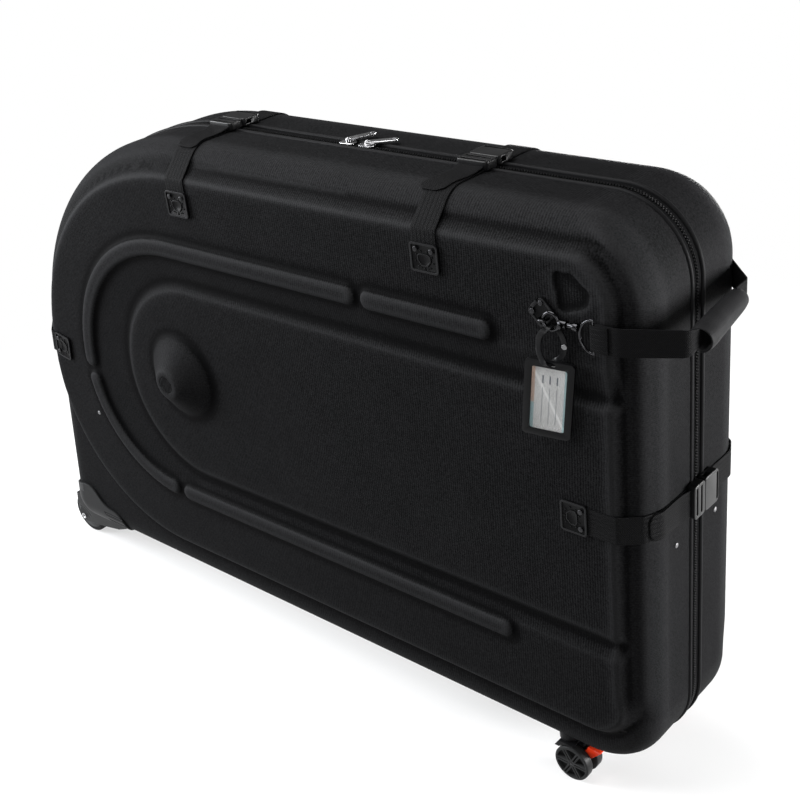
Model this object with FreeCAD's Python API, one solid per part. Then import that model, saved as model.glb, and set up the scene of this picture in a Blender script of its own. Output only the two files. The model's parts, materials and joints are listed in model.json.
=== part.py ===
import FreeCAD, Part
import math
import os

V = FreeCAD.Vector

# A clamshell travel case for a bicycle, standing on its wheels. Millimetres. X runs along the case with the
# handle end at +X, Y is its depth with the front shell at -Y, Z is up from the floor. Pieces are drawn from
# the middle of the shell's bottom edge and moved to the final frame when they are written.

# Outline of the shells, seen from the front
SHELL_LENGTH = 1278.0
SHELL_HEIGHT = 820.0
CORNER_RADIUS = 105.0
CROWN_RADIUS = 470.0
FLARE_ANGLE = 9.4
FLARE_BLEND = 400.0
TOE_RADIUS = 50.0
GROUND_CLEARANCE = 65.0

# Section of one shell
SHELL_DEPTH = 113.0
RIM_RADIUS = 42.0
WALL = 6.0
MOUTH = 15.5

# Raised plateau of the face
PLATEAU_RISE = 16.0
PLATEAU_SLOPE = 14.0
PLATEAU_ROOT = 13.0
PLATEAU_TOP_INSET = 45.0
PLATEAU_BOTTOM_INSET = 78.0
PLATEAU_LEFT_INSET = 46.0
PLATEAU_RIGHT_INSET = 37.0
PLATEAU_CORNER = 55.0
PLATEAU_EDGE_FILLET = 7.0

# Four beads in a U on the plateau
BEAD_INSET = 103.0
BEAD_WIDTH = 28.0
BEAD_RISE = 7.0
BEAD_FILLET = 5.5
BEAD_MID = 385.0
BEAD_RIGHT_INSET = 212.0
BEAD_GAP = 12.0
BEAD_TOP_GAP_X = 202.0

# Inner panel, standing in a channel
CHANNEL_DEPTH = 6.0
CHANNEL_FLOOR = 4.0
CHANNEL_BEAD_MARGIN = 2.0
PANEL_TOP_INSET = 72.0
PANEL_BOTTOM_INSET = 57.0
PANEL_LEFT_INSET = 117.0
PANEL_SLOPE = 13.0
PANEL_MID = 405.0

# Hub dome
DOME_X = -222.0
DOME_Z = 432.0
DOME_RISE = 38.0
DOME_BASE_RADIUS = 75.0
DOME_TOP_RADIUS = 23.0
DOME_FILLET = 6.0
DOME_RING_RADIUS = 14.0
DOME_RING_WIDTH = 1.6
DOME_RING_DEPTH = 1.0

# Dish beside the handle's anchor
DISH_DEPTH = 3.0
DISH_RADIUS = 9.0
DISH_CORNERS = ((14.0, 56.0), (41.0, 55.0), (67.0, 34.0), (61.0, 15.0), (23.0, 2.0))

# Zip along the mouth of the shells
PIPING_WIDTH = 4.5
PIPING_PROUD = 2.0
TAPE_DEPTH = 3.5
TAPE_PROUD = -1.5
COIL_HALF = 3.0
COIL_PROUD = 0.2
COIL_GAP = 0.2
HINGE_LEFT = -480.0
HINGE_RIGHT = 440.0
HINGE_HALF_WIDTH = 40.0
HINGE_THICKNESS = 2.0

# Zip sliders and pulls
SLIDER_X = (90.0, 126.0)
PULL_TURN = (22.0, 50.0)
SLIDER_LENGTH = 26.0
SLIDER_WIDTH = 17.0
SLIDER_PLATE = 2.5
SLIDER_SKIRT = 2.0
LUG_WIDTH = 5.2
LUG_RADIUS = 3.2
PULL_PIN_RADIUS = 1.0
PULL_PLAY = 0.06
PULL_REACH_GAP = 2.0
PULL_LENGTH = 44.0
PULL_WIDTH = 12.0
PULL_THICKNESS = 3.0

# Closing straps: where each one crosses the edge, and how far in its anchor plate sits
STRAP_WIDTH = 40.0
STRAP_THICKNESS = 2.0
STRAP_SEAT = 0.3
TOP_STRAP_X = (-150.0, 330.0)
SIDE_STRAP_RISE = 73.0
TOP_PLATE_INSET = 82.0
SIDE_PLATE_INSET = 99.0
LEFT_PLATE_INSET = 78.0
STRAP_END = 17.0
PLATE_WIDTH = 46.0
PLATE_LENGTH = 40.0
PLATE_THICKNESS = 4.5
PLATE_CORNER = 5.0
PLATE_STRAP_PLAY = 0.3

# Side-release buckles
BUCKLE_WIDTH = 50.0
BUCKLE_LENGTH = 34.0
BUCKLE_HEIGHT = 11.0
BUCKLE_CORNER = 6.0
BUCKLE_WALL = 2.4
BUCKLE_PLAY = 0.5
CAVITY_WIDTH = 39.0
CAVITY_DEPTH = 26.0
MALE_BASE_LENGTH = 26.0
PRONG_LENGTH = 15.0
PRONG_WIDTH = 5.5
BAR_SLOT_LENGTH = 4.0
BAR_SLOT_SHARES = (0.16, 0.58)
GUIDE_SHARE = 0.7

# Rivets
RIVET_RADIUS = 4.5
RIVET_HEIGHT = 2.0
RIVET_SPACING = 26.0
END_RIVET_Y = 50.0
END_RIVET_Z = 370.0
FACE_RIVET_X = -495.0
FACE_RIVET_Z = 290.0

# Handle on the right end
HANDLE_DROP = 132.0
HANDLE_STRAP_WIDTH = 36.0
HANDLE_PLATE_INSET = 132.0
HANDLE_PLATE_RISE = 13.0
HANDLE_PLATE_SIDE = 30.0
STAPLE_RISE = 8.0
STAPLE_SHIFT = 6.0
STAPLE_RADIUS = 5.0
STAPLE_WIRE = 1.6
STAPLE_LEG = 3.5
HOOK_WIRE = 2.2
HOOK_RADIUS = 11.0
HOOK_SHANK_RADIUS = 3.2
HOOK_SHANK_LENGTH = 27.0
HOOK_COLLAR_LENGTH = 6.0
BOLT_RADIUS = 5.0
BOLT_LENGTH = 9.0
RING_HEIGHT = 46.0
RING_LENGTH = 22.0
RING_BAR = 3.6
GRIP_FRONT_STANDOFF = 48.0
GRIP_BACK_STANDOFF = 34.0
GRIP_FRONT_DROP = 4.0
GRIP_FRONT = -81.0
GRIP_BACK = 36.0
GRIP_RADIUS = 14.0
GRIP_MOUTH_GAP = 1.0
HANDLE_BEND = 22.0

# Luggage tag
TAG_WIDTH = 62.0
TAG_HEIGHT = 106.0
TAG_THICKNESS = 5.0
TAG_CORNER = 6.0
TAG_BORDER = 9.0
TAG_LEAN = 5.0
LOOP_LEAN = 1.5
TAG_TURN = 18.0
TAG_FORWARD = 4.0
CARD_THICKNESS = 0.6
WINDOW_THICKNESS = 0.8
POCKET_MARGIN = 2.5
LOOP_HALF_WIDTH = 15.0
LOOP_HEIGHT = 47.0
LOOP_CORD = 1.3
LOOP_PLAY = 0.3
LOOP_FRONT = 6.0
LOOP_BEHIND = 4.5
TAG_SLOT_WIDTH = 14.0
TAG_SLOT_HEIGHT = 5.0

# Corner wheel at the lower left, and the cover that holds it
CORNER_WHEEL_RADIUS = 42.5
CORNER_WHEEL_WIDTH = 26.0
CORNER_WHEEL_STANDOFF = 8.5021
CORNER_WHEEL_FACE_INSET = 46.0
TYRE_THICKNESS = 9.0
CORNER_AXLE_RADIUS = 4.0
AXLE_PLAY = 0.05
AXLE_HEAD_RADIUS = 6.0
AXLE_HEAD_LENGTH = 1.5
CHEEK_GAP = 1.5
CHEEK_THICKNESS = 6.0
CAP_THICKNESS = 11.0
CAP_RADIUS = 15.0
CAP_SLOPE = 12.0
CAP_RINGS = (34.0, 22.0)
CAP_RING_STEP = 2.0
COVER_THICKNESS = 4.0
COVER_INNER_Y = 30.0
COVER_EDGE = ((-6.0, 74.0), (24.0, 97.0), (62.0, 111.0), (98.0, 107.0), (118.0, 86.0), (138.0, 75.0),
              (164.0, 68.0), (177.0, 54.0), (175.0, 34.0), (162.0, 18.0))
COVER_FOOT = ((72.0, -2.5), (118.0, 7.5), (150.0, 22.0))
COVER_TIP = (20.0, 72.0)

# Twin-wheel castor under the right end
CASTOR_END_INSET = 156.0
CASTOR_FACE_INSET = 28.0
CASTOR_TRAIL = 14.0
CASTOR_WHEEL_RADIUS = 29.0
CASTOR_WHEEL_WIDTH = 14.0
CASTOR_WHEEL_SPACING = 26.0
CASTOR_WHEEL_EDGE = 2.0
CASTOR_MOUNT_RADIUS = 15.0
CASTOR_MOUNT_DROP = 3.0
CASTOR_STEM_RADIUS = 6.0
CASTOR_STEM_LENGTH = 4.0
CASTOR_AXLE_RADIUS = 3.0
FORK_GAP = 1.0
FORK_FOOT = 2.5
HOOD_THICKNESS = 2.5
HOOD_GAP = 1.5
HOOD_LEFT = 22.0
HOOD_RIGHT = 3.0
HOOD_INSET = 2.0
HOOD_LIP = 8.0
HOOD_LIP_DROP = 11.0
SWIVEL_GAP = 1.0
SPOKE_COUNT = 6
SPOKE_WIDTH = 2.4
SPOKE_SLOT = 2.2
SPOKE_DEPTH = 6.0
RIM_INNER_RADIUS = 24.5
HUB_RADIUS = 5.5
LEVER_PIVOT_X = 16.0
LEVER_PIVOT_Z = 18.0
LEVER_PIN_RADIUS = 2.0
LEVER_HUB_WALL = 2.4
LEVER_REACH = 42.0
LEVER_TAIL = 24.0
LEVER_GAP = 1.0
TONGUE_WIDTH = 3.6

# Tie-down straps inside the back shell
TIE_X = (-40.0, 340.0)
TIE_BOTTOM = 130.0
TIE_TOP_INSET = 130.0

# Places that follow from the sizes above
RIGHT_END = SHELL_LENGTH / 2
LEFT_END = -SHELL_LENGTH / 2
CROWN_Z = SHELL_HEIGHT - CROWN_RADIUS
FACE = SHELL_DEPTH + PLATEAU_RISE
INNER_FACE = FACE - WALL - CHANNEL_DEPTH
WHEEL_FLOOR = -GROUND_CLEARANCE
FLARE_FOOT_X = (LEFT_END - FLARE_BLEND * (1 - math.cos(math.radians(FLARE_ANGLE)))
                - (CROWN_Z - FLARE_BLEND * math.sin(math.radians(FLARE_ANGLE))) * math.tan(math.radians(FLARE_ANGLE)))
CORNER_WHEEL_X = FLARE_FOOT_X - CORNER_WHEEL_STANDOFF
CORNER_WHEEL_Y = SHELL_DEPTH - CORNER_WHEEL_FACE_INSET
CORNER_AXLE_Z = WHEEL_FLOOR + CORNER_WHEEL_RADIUS
CASTOR_X = RIGHT_END - CASTOR_END_INSET
CASTOR_Y = SHELL_DEPTH - CASTOR_FACE_INSET
CASTOR_AXLE_Z = WHEEL_FLOOR + CASTOR_WHEEL_RADIUS
GRIP_FRONT_X = RIGHT_END + GRIP_FRONT_STANDOFF
GRIP_BACK_X = RIGHT_END + GRIP_BACK_STANDOFF
PLATE_FACE = FACE + PLATE_THICKNESS
STRAP_LIFT = STRAP_SEAT + STRAP_THICKNESS / 2
BUCKLE_FLOOR = STRAP_SEAT + STRAP_THICKNESS + STRAP_SEAT
SIDE_STRAP_Z = CROWN_Z + SIDE_STRAP_RISE
HANDLE_Z = SHELL_HEIGHT - HANDLE_DROP
HANDLE_PLATE_X = RIGHT_END - HANDLE_PLATE_INSET
HANDLE_PLATE_Z = HANDLE_Z + HANDLE_PLATE_RISE
TIE_TOP = SHELL_HEIGHT - TIE_TOP_INSET


# Drawing helpers

def line(a, b):
    return Part.LineSegment(a, b).toShape()


def arc_xz(cx, cz, radius, start, end, y):
    """Arc in an XZ plane, angles in degrees from +X towards +Z."""
    at = [V(cx + radius * math.cos(math.radians(a)), y, cz + radius * math.sin(math.radians(a)))
          for a in (start, (start + end) / 2, end)]
    return Part.Arc(*at).toShape()


def chain(edges):
    """One wire through arcs and the straight runs that join each edge to the next."""
    run = []
    for i, edge in enumerate(edges):
        run.append(edge)
        a = edge.lastVertex(True).Point
        b = edges[(i + 1) % len(edges)].firstVertex(True).Point
        if a.distanceToPoint(b) > 1e-6:
            run.append(line(a, b))
    return Part.Wire(run)


def prism(wire, depth):
    return Part.Face(wire).extrude(V(0, depth, 0))


def box(x0, x1, y0, y1, z0, z1):
    return Part.makeBox(x1 - x0, y1 - y0, z1 - z0, V(x0, y0, z0))


def rod(start, end, radius):
    axis = end - start
    return Part.makeCylinder(radius, axis.Length, start, axis)


def edges_on(shape, axis, value):
    """Edges that lie wholly in one plane across the axis x, y or z."""
    found = []
    for edge in shape.Edges:
        lo = getattr(edge.BoundBox, axis.upper() + "Min")
        hi = getattr(edge.BoundBox, axis.upper() + "Max")
        if abs(lo - value) < 1e-4 and abs(hi - value) < 1e-4:
            found.append(edge)
    return found


def edges_along(shape, axis):
    """Straight edges parallel to an axis given as a unit vector."""
    return [e for e in shape.Edges
            if len(e.Vertexes) == 2 and isinstance(e.Curve, Part.Line)
            and abs(abs(e.tangentAt(e.FirstParameter).dot(axis)) - 1) < 1e-6]


def plate_xz(width, height, corner, y0, y1):
    """Rounded rectangle centred on the Y axis."""
    shape = box(-width / 2, width / 2, y0, y1, -height / 2, height / 2)
    return shape.makeFillet(corner, edges_along(shape, V(0, 1, 0)))


def ribbon(points, radii, thickness, width):
    """Flat band bent in the YZ plane along points (y, z), with one bend radius for each inner point."""
    at = [V(0, y, z) for y, z in points]
    heading = [(b - a).normalize() for a, b in zip(at, at[1:])]
    left = [V(0, -d.z, d.y) for d in heading]
    edges = []
    ends = []
    for offset in (thickness / 2, -thickness / 2):
        here = at[0] + left[0] * offset
        ends.append(here)
        for i, radius in enumerate(radii):
            corner = at[i + 1]
            reach = radius * math.tan(heading[i].getAngle(heading[i + 1]) / 2)
            side = 1 if heading[i].cross(heading[i + 1]).x > 0 else -1
            centre = corner - heading[i] * reach + left[i] * (side * radius)
            first = corner - heading[i] * reach + left[i] * offset
            last = corner + heading[i + 1] * reach + left[i + 1] * offset
            middle = centre + (corner - centre).normalize() * (radius - side * offset)
            edges += [line(here, first), Part.Arc(first, middle, last).toShape()]
            here = last
        final = at[-1] + left[-1] * offset
        edges.append(line(here, final))
        ends.append(final)
    edges += [line(ends[0], ends[2]), line(ends[1], ends[3])]
    wire = Part.Wire(Part.__sortEdges__(edges))
    return Part.Face(wire).extrude(V(width, 0, 0)).translated(V(-width / 2, 0, 0))


def to_back(shape):
    """The matching piece of the other shell."""
    return shape.mirror(V(0, 0, 0), V(0, 1, 0))


# Outlines of the shell and its relief

def outline(grow, y):
    """The case's outline in an XZ plane, grown outward."""
    lean = math.radians(FLARE_ANGLE)
    corner = CORNER_RADIUS + grow
    toe = TOE_RADIUS + grow
    blend = FLARE_BLEND - grow
    right = RIGHT_END - CORNER_RADIUS
    slant_x = LEFT_END - FLARE_BLEND + blend * math.cos(lean)
    slant_z = CROWN_Z - blend * math.sin(lean)
    point_x = slant_x - (slant_z + grow) * math.tan(lean)
    toe_x = point_x + toe * math.tan(math.radians(90 + FLARE_ANGLE) / 2)
    return chain([
        arc_xz(right, CORNER_RADIUS, corner, -90, 0, y),
        arc_xz(right, SHELL_HEIGHT - CORNER_RADIUS, corner, 0, 90, y),
        arc_xz(LEFT_END + CROWN_RADIUS, CROWN_Z, CROWN_RADIUS + grow, 90, 180, y),
        arc_xz(LEFT_END - FLARE_BLEND, CROWN_Z, blend, 0, -FLARE_ANGLE, y),
        arc_xz(toe_x, TOE_RADIUS, toe, 180 - FLARE_ANGLE, 270, y),
    ])


def left_round(top, bottom, left, right, mid, corner, y):
    """Relief outline: two arcs that meet at height mid on the left, and rounded corners on the right."""
    upper = top - mid
    lower = mid - bottom
    return chain([
        arc_xz(right - corner, bottom + corner, corner, -90, 0, y),
        arc_xz(right - corner, top - corner, corner, 0, 90, y),
        arc_xz(left + upper, mid, upper, 90, 180, y),
        arc_xz(left + lower, mid, lower, 180, 270, y),
    ])


PLATEAU_TOP = SHELL_HEIGHT - PLATEAU_TOP_INSET
PLATEAU_BOTTOM = PLATEAU_BOTTOM_INSET
PLATEAU_LEFT = LEFT_END + PLATEAU_LEFT_INSET
PLATEAU_RIGHT = RIGHT_END - PLATEAU_RIGHT_INSET
BEAD_TOP = PLATEAU_TOP - BEAD_INSET
BEAD_BOTTOM = PLATEAU_BOTTOM + BEAD_INSET
BEAD_LEFT = PLATEAU_LEFT + BEAD_INSET
BEAD_RIGHT = RIGHT_END - BEAD_RIGHT_INSET
PANEL_TOP = BEAD_TOP - PANEL_TOP_INSET
PANEL_BOTTOM = BEAD_BOTTOM + PANEL_BOTTOM_INSET
PANEL_LEFT = BEAD_LEFT + PANEL_LEFT_INSET


def plateau_outline(grow, y):
    return left_round(PLATEAU_TOP + grow, PLATEAU_BOTTOM - grow, PLATEAU_LEFT - grow,
                      PLATEAU_RIGHT + grow, CROWN_Z, PLATEAU_CORNER + grow, y)


def channel_outline(share, y):
    """Share 0 is the channel's floor beside the panel, 1 its outer edge beside the beads."""
    bead = BEAD_WIDTH + CHANNEL_BEAD_MARGIN
    ends = ((PANEL_TOP + CHANNEL_FLOOR, BEAD_TOP - bead),
            (PANEL_BOTTOM - CHANNEL_FLOOR, BEAD_BOTTOM + bead),
            (PANEL_LEFT - CHANNEL_FLOOR, BEAD_LEFT + bead),
            (PANEL_MID, BEAD_MID))
    top, bottom, left, mid = [a + (b - a) * share for a, b in ends]
    return left_round(top, bottom, left, RIGHT_END + CORNER_RADIUS, mid, PLATEAU_EDGE_FILLET, y)


def panel_outline(inset, y):
    right = RIGHT_END + 2 * CORNER_RADIUS
    return left_round(PANEL_TOP - inset, PANEL_BOTTOM + inset, PANEL_LEFT + inset, right,
                      PANEL_MID, PLATEAU_EDGE_FILLET, y)


# The moulded shell

def rim_block(grow):
    """Solid of the shell's outer form without its relief, from the zip plane to the face."""
    depth = SHELL_DEPTH + grow
    block = prism(outline(grow, 0), -depth)
    return block.makeFillet(RIM_RADIUS + grow, edges_on(block, "y", -depth))


def plateau_block(inset, face):
    """Plateau with sloping sides, rooted inside the rim block."""
    root = SHELL_DEPTH - PLATEAU_ROOT
    wide = PLATEAU_SLOPE * (FACE - root) / PLATEAU_RISE
    narrow = PLATEAU_SLOPE * (FACE - face) / PLATEAU_RISE
    sections = [plateau_outline(wide - inset, -root), plateau_outline(narrow - inset, -face)]
    return Part.makeLoft(sections, True, True)


def channel_block():
    """The channel cut round the inner panel, open at the plateau's right edge."""
    floor = FACE - CHANNEL_DEPTH
    above = FACE + CHANNEL_DEPTH
    around = Part.makeLoft([channel_outline(0, -floor), channel_outline(2, -above)], True, True)
    below = floor - CHANNEL_DEPTH
    sections = [panel_outline(-PANEL_SLOPE, -below), panel_outline(2 * PANEL_SLOPE, -above)]
    return around.cut(Part.makeLoft(sections, True, True))


def bead(wire):
    """One raised bead on a closed outline, rounded along its top edge."""
    solid = prism(wire, -BEAD_RISE - CHANNEL_DEPTH)
    return solid.makeFillet(BEAD_FILLET, edges_on(solid, "y", -(FACE + BEAD_RISE)))


def beads():
    """Four round-ended beads in a U: two along the top, one round the lower left, one along the bottom."""
    y = -(FACE - CHANNEL_DEPTH)
    half = BEAD_WIDTH / 2
    cut = half + BEAD_GAP / 2
    top = BEAD_TOP - half
    bottom = BEAD_BOTTOM + half
    upper = top - BEAD_MID
    lower = BEAD_MID - bottom
    left = BEAD_LEFT + half
    right = BEAD_RIGHT - half
    upper_x = left + upper
    lower_x = left + lower
    upper_end = 180 - math.degrees(cut / upper)
    lower_start = 180 + math.degrees(cut / lower)
    lower_end = 270 - math.degrees(cut / lower)

    def cap(cx, cz, radius, angle, start):
        """Half circle that closes a bead's end at an angle on its centre line."""
        turn = math.radians(angle)
        return arc_xz(cx + radius * math.cos(turn), cz + radius * math.sin(turn), half, start, start + 180, y)

    return [
        bead(chain([cap(right, top, 0, 0, -90), cap(BEAD_TOP_GAP_X + cut, top, 0, 0, 90)])),
        bead(chain([cap(BEAD_TOP_GAP_X - cut, top, 0, 0, -90),
                    arc_xz(upper_x, BEAD_MID, upper + half, 90, upper_end, y),
                    cap(upper_x, BEAD_MID, upper, upper_end, upper_end),
                    arc_xz(upper_x, BEAD_MID, upper - half, upper_end, 90, y)])),
        bead(chain([arc_xz(lower_x, BEAD_MID, lower + half, lower_start, lower_end, y),
                    cap(lower_x, BEAD_MID, lower, lower_end, lower_end),
                    arc_xz(lower_x, BEAD_MID, lower - half, lower_end, lower_start, y),
                    cap(lower_x, BEAD_MID, lower, lower_start, lower_start + 180)])),
        bead(chain([cap(right, bottom, 0, 0, -90), cap(lower_x + cut, bottom, 0, 0, 90)])),
    ]


def dome(base_radius, top_radius, base_y, top_y):
    return Part.makeCone(base_radius, top_radius, top_y - base_y, V(DOME_X, -base_y, DOME_Z), V(0, -1, 0))


def hub_dome():
    """Truncated cone over the hub with a pressed ring on its flat top."""
    flank = (DOME_BASE_RADIUS - DOME_TOP_RADIUS) / DOME_RISE
    top = FACE + DOME_RISE
    root = FACE - CHANNEL_DEPTH
    solid = dome(DOME_BASE_RADIUS + flank * CHANNEL_DEPTH, DOME_TOP_RADIUS, root, top)
    solid = solid.makeFillet(DOME_FILLET, edges_on(solid, "y", -top))
    centre = V(DOME_X, -top, DOME_Z)
    ring = rod(centre, centre + V(0, DOME_RING_DEPTH, 0), DOME_RING_RADIUS)
    ring = ring.cut(rod(centre, centre + V(0, DOME_RING_DEPTH, 0), DOME_RING_RADIUS - DOME_RING_WIDTH))
    return solid.cut(ring)


def dish():
    """Rounded shield pressed in beside the handle's anchor plate."""
    corners = [V(HANDLE_PLATE_X + dx, -FACE, HANDLE_PLATE_Z + dz) for dx, dz in DISH_CORNERS]
    solid = prism(Part.makePolygon(corners + corners[:1]), DISH_DEPTH)
    return solid.makeFillet(DISH_RADIUS, edges_along(solid, V(0, 1, 0)))


def shell():
    """One moulded half: rim, plateau, channel, beads and dome outside, hollow inside, open at the zip."""
    outer = rim_block(0)
    raised = plateau_block(0, FACE)
    raised = raised.makeFillet(PLATEAU_EDGE_FILLET, edges_on(raised, "y", -FACE))
    body = outer.fuse(raised.cut(channel_block()))
    body = body.fuse(beads() + [hub_dome()]).cut(dish())
    wall = WALL + CHANNEL_DEPTH
    flank = (DOME_BASE_RADIUS - DOME_TOP_RADIUS) / DOME_RISE
    inside = rim_block(-WALL).fuse(plateau_block(wall, INNER_FACE))
    inside = inside.fuse(dome(DOME_BASE_RADIUS - WALL, DOME_BASE_RADIUS - WALL - flank * DOME_RISE,
                              INNER_FACE, INNER_FACE + DOME_RISE))
    mouth = box(2 * LEFT_END, 2 * RIGHT_END, -MOUTH, SHELL_DEPTH, -SHELL_HEIGHT, 2 * SHELL_HEIGHT)
    return body.cut(inside).cut(mouth).removeSplitter()


# Zip and fabric hinge

def ring_band(outer, inner, y0, y1):
    """Band that follows the outline, from one offset to another, between two depths."""
    return prism(outline(outer, y0), y1 - y0).cut(prism(outline(inner, y0), y1 - y0))


def zip_tape():
    """Piping, tape and one row of the coil, sewn along a shell's mouth; open where the hinge strip is."""
    piping = ring_band(PIPING_PROUD, -TAPE_DEPTH, -MOUTH, -MOUTH + PIPING_WIDTH)
    tape = ring_band(TAPE_PROUD, -TAPE_DEPTH, -MOUTH + PIPING_WIDTH, -COIL_HALF)
    coil = ring_band(COIL_PROUD, -TAPE_DEPTH, -COIL_HALF, -COIL_GAP)
    gap = box(HINGE_LEFT, HINGE_RIGHT, -MOUTH, 0, -CORNER_RADIUS / 2, CORNER_RADIUS / 2)
    return piping.fuse([tape, coil]).cut(gap).removeSplitter()


def hinge_strip():
    top = -STRAP_SEAT
    return box(HINGE_LEFT, HINGE_RIGHT, -HINGE_HALF_WIDTH, HINGE_HALF_WIDTH, top - HINGE_THICKNESS, top)


SLIDER_FLOOR = SHELL_HEIGHT + COIL_PROUD + STRAP_SEAT
LUG_Z = SLIDER_FLOOR + SLIDER_PLATE + LUG_RADIUS


def zip_slider(x, turn):
    """Slider body over the coil, with a skirt beside the back tape and a turned, drilled lug for the pull."""
    top = SLIDER_FLOOR + SLIDER_PLATE
    plate = box(-SLIDER_LENGTH / 2, SLIDER_LENGTH / 2, -SLIDER_WIDTH / 2, SLIDER_WIDTH / 2, SLIDER_FLOOR, top)
    plate = plate.makeChamfer(SLIDER_WIDTH / 4, edges_along(plate, V(0, 0, 1)))
    low = SHELL_HEIGHT + TAPE_PROUD + STRAP_SEAT
    skirt = box(-SLIDER_LENGTH / 4, SLIDER_LENGTH / 4, SLIDER_WIDTH / 2 - SLIDER_SKIRT, SLIDER_WIDTH / 2,
                low, SLIDER_FLOOR)
    lug = rod(V(-LUG_WIDTH / 2, 0, LUG_Z), V(LUG_WIDTH / 2, 0, LUG_Z), LUG_RADIUS)
    lug = lug.fuse(box(-LUG_WIDTH / 2, LUG_WIDTH / 2, -LUG_RADIUS, LUG_RADIUS, top, LUG_Z))
    lug = lug.cut(rod(V(-LUG_WIDTH, 0, LUG_Z), V(LUG_WIDTH, 0, LUG_Z), PULL_PIN_RADIUS + PULL_PLAY))
    return plate.fuse([skirt, lug.rotated(V(0, 0, 0), V(0, 0, 1), -turn)]).translated(V(x, 0, 0))


def zip_pull(x, turn):
    """Pull tab laid back over the back shell: two cheeks and a pin through the lug, and a waisted tab."""
    cheek = (PULL_WIDTH - LUG_WIDTH) / 2 - 2 * PULL_PLAY
    inner = PULL_WIDTH / 2 - cheek
    half = PULL_THICKNESS / 2
    reach = LUG_RADIUS + PULL_REACH_GAP
    body = []
    for side in (-1, 1):
        x0 = min(side * inner, side * PULL_WIDTH / 2)
        body.append(box(x0, x0 + cheek, -half, reach, LUG_Z - half, LUG_Z + half))
    tab = box(-PULL_WIDTH / 2, PULL_WIDTH / 2, reach, PULL_LENGTH, LUG_Z - half, LUG_Z + half)
    tip_edges = [e for e in edges_along(tab, V(0, 0, 1)) if e.BoundBox.YMin > reach + 1]
    tab = tab.makeFillet(PULL_WIDTH / 3, tip_edges)
    eye = PULL_LENGTH - PULL_WIDTH / 2
    hole = rod(V(0, eye, LUG_Z - PULL_THICKNESS), V(0, eye, LUG_Z + PULL_THICKNESS), PULL_WIDTH / 4)
    pin = rod(V(-PULL_WIDTH / 2, 0, LUG_Z), V(PULL_WIDTH / 2, 0, LUG_Z), PULL_PIN_RADIUS)
    pull = body[0].fuse([body[1], tab.cut(hole), pin])
    return pull.rotated(V(0, 0, 0), V(0, 0, 1), -turn).translated(V(x, 0, 0))


# Closing straps. They are drawn as if they crossed the top edge at x = 0, with z = 0 on the shell's outer
# edge, and then set at their place along the outline.

def set_at(shape, place):
    turn, x, z = place
    return shape.rotated(V(0, 0, 0), V(0, 1, 0), turn).translated(V(x, 0, z))


LEFT_STRAP_TURN = math.degrees(math.asin((SIDE_STRAP_Z - CROWN_Z) / CROWN_RADIUS)) - 90
LEFT_STRAP_X = LEFT_END + CROWN_RADIUS * (1 + math.sin(math.radians(LEFT_STRAP_TURN)))
PLACES = {
    "top_left": (0, TOP_STRAP_X[0], SHELL_HEIGHT),
    "top_right": (0, TOP_STRAP_X[1], SHELL_HEIGHT),
    "right": (90, RIGHT_END, SIDE_STRAP_Z),
    "left": (LEFT_STRAP_TURN, LEFT_STRAP_X, SIDE_STRAP_Z),
}
HANDLE_PLACE = (90, RIGHT_END, HANDLE_Z)
PLATE_INSETS = {
    "top_left": TOP_PLATE_INSET,
    "top_right": TOP_PLATE_INSET,
    "right": SIDE_PLATE_INSET,
    "left": LEFT_PLATE_INSET,
}
CREST_INSETS = {
    "top_left": PLATEAU_TOP_INSET,
    "top_right": PLATEAU_TOP_INSET,
    "right": PLATEAU_RIGHT_INSET,
    "left": PLATEAU_LEFT_INSET,
}


CREST_BEND = PLATEAU_EDGE_FILLET + STRAP_LIFT
CREST_SHIFT = STRAP_LIFT * math.tan(math.atan2(PLATEAU_RISE, PLATEAU_SLOPE) / 2)


def strap(name):
    """Webbing from under its anchor plate, over the plateau's crest, across the valley and over the rim."""
    crest = CREST_INSETS[name]
    around = RIM_RADIUS + STRAP_LIFT
    centre_y = -(SHELL_DEPTH - RIM_RADIUS)
    corner = (-(FACE + STRAP_LIFT), CREST_SHIFT - crest)
    dy = corner[0] - centre_y
    dz = corner[1] + RIM_RADIUS
    span = math.hypot(dy, dz)
    touch = math.atan2(dz, dy) % (2 * math.pi) - math.acos(around / span)
    bend_share = (touch - math.pi / 2) / 2
    outer = around / math.cos(bend_share)
    knee_angle = math.pi / 2 + bend_share
    knee = (centre_y + outer * math.cos(knee_angle), -RIM_RADIUS + outer * math.sin(knee_angle))
    start = (corner[0], -(PLATE_INSETS[name] + PLATE_LENGTH / 4))
    end = (-STRAP_END, STRAP_LIFT)
    return ribbon([start, corner, knee, end], [CREST_BEND, around], STRAP_THICKNESS, STRAP_WIDTH)


def anchor_plate(name):
    """Riveted plate with a slot underneath for the webbing's end."""
    plate = plate_xz(PLATE_WIDTH, PLATE_LENGTH, PLATE_CORNER, -PLATE_FACE, -FACE)
    plate = plate.makeFillet(PLATE_THICKNESS / 4, edges_on(plate, "y", -PLATE_FACE))
    half = STRAP_WIDTH / 2 + PLATE_STRAP_PLAY
    slot = box(-half, half, -(FACE + STRAP_LIFT + STRAP_THICKNESS / 2 + PLATE_STRAP_PLAY), -FACE,
               -PLATE_LENGTH / 4 - PLATE_STRAP_PLAY, PLATE_LENGTH)
    return plate.cut(slot).translated(V(0, 0, -PLATE_INSETS[name]))


def buckle_block(length):
    block = box(-BUCKLE_WIDTH / 2, BUCKLE_WIDTH / 2, 0, length, BUCKLE_FLOOR, BUCKLE_FLOOR + BUCKLE_HEIGHT)
    block = block.makeFillet(BUCKLE_CORNER, edges_along(block, V(0, 0, 1)))
    return block.makeFillet(BUCKLE_WALL / 2, edges_on(block, "z", BUCKLE_FLOOR + BUCKLE_HEIGHT))


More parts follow.
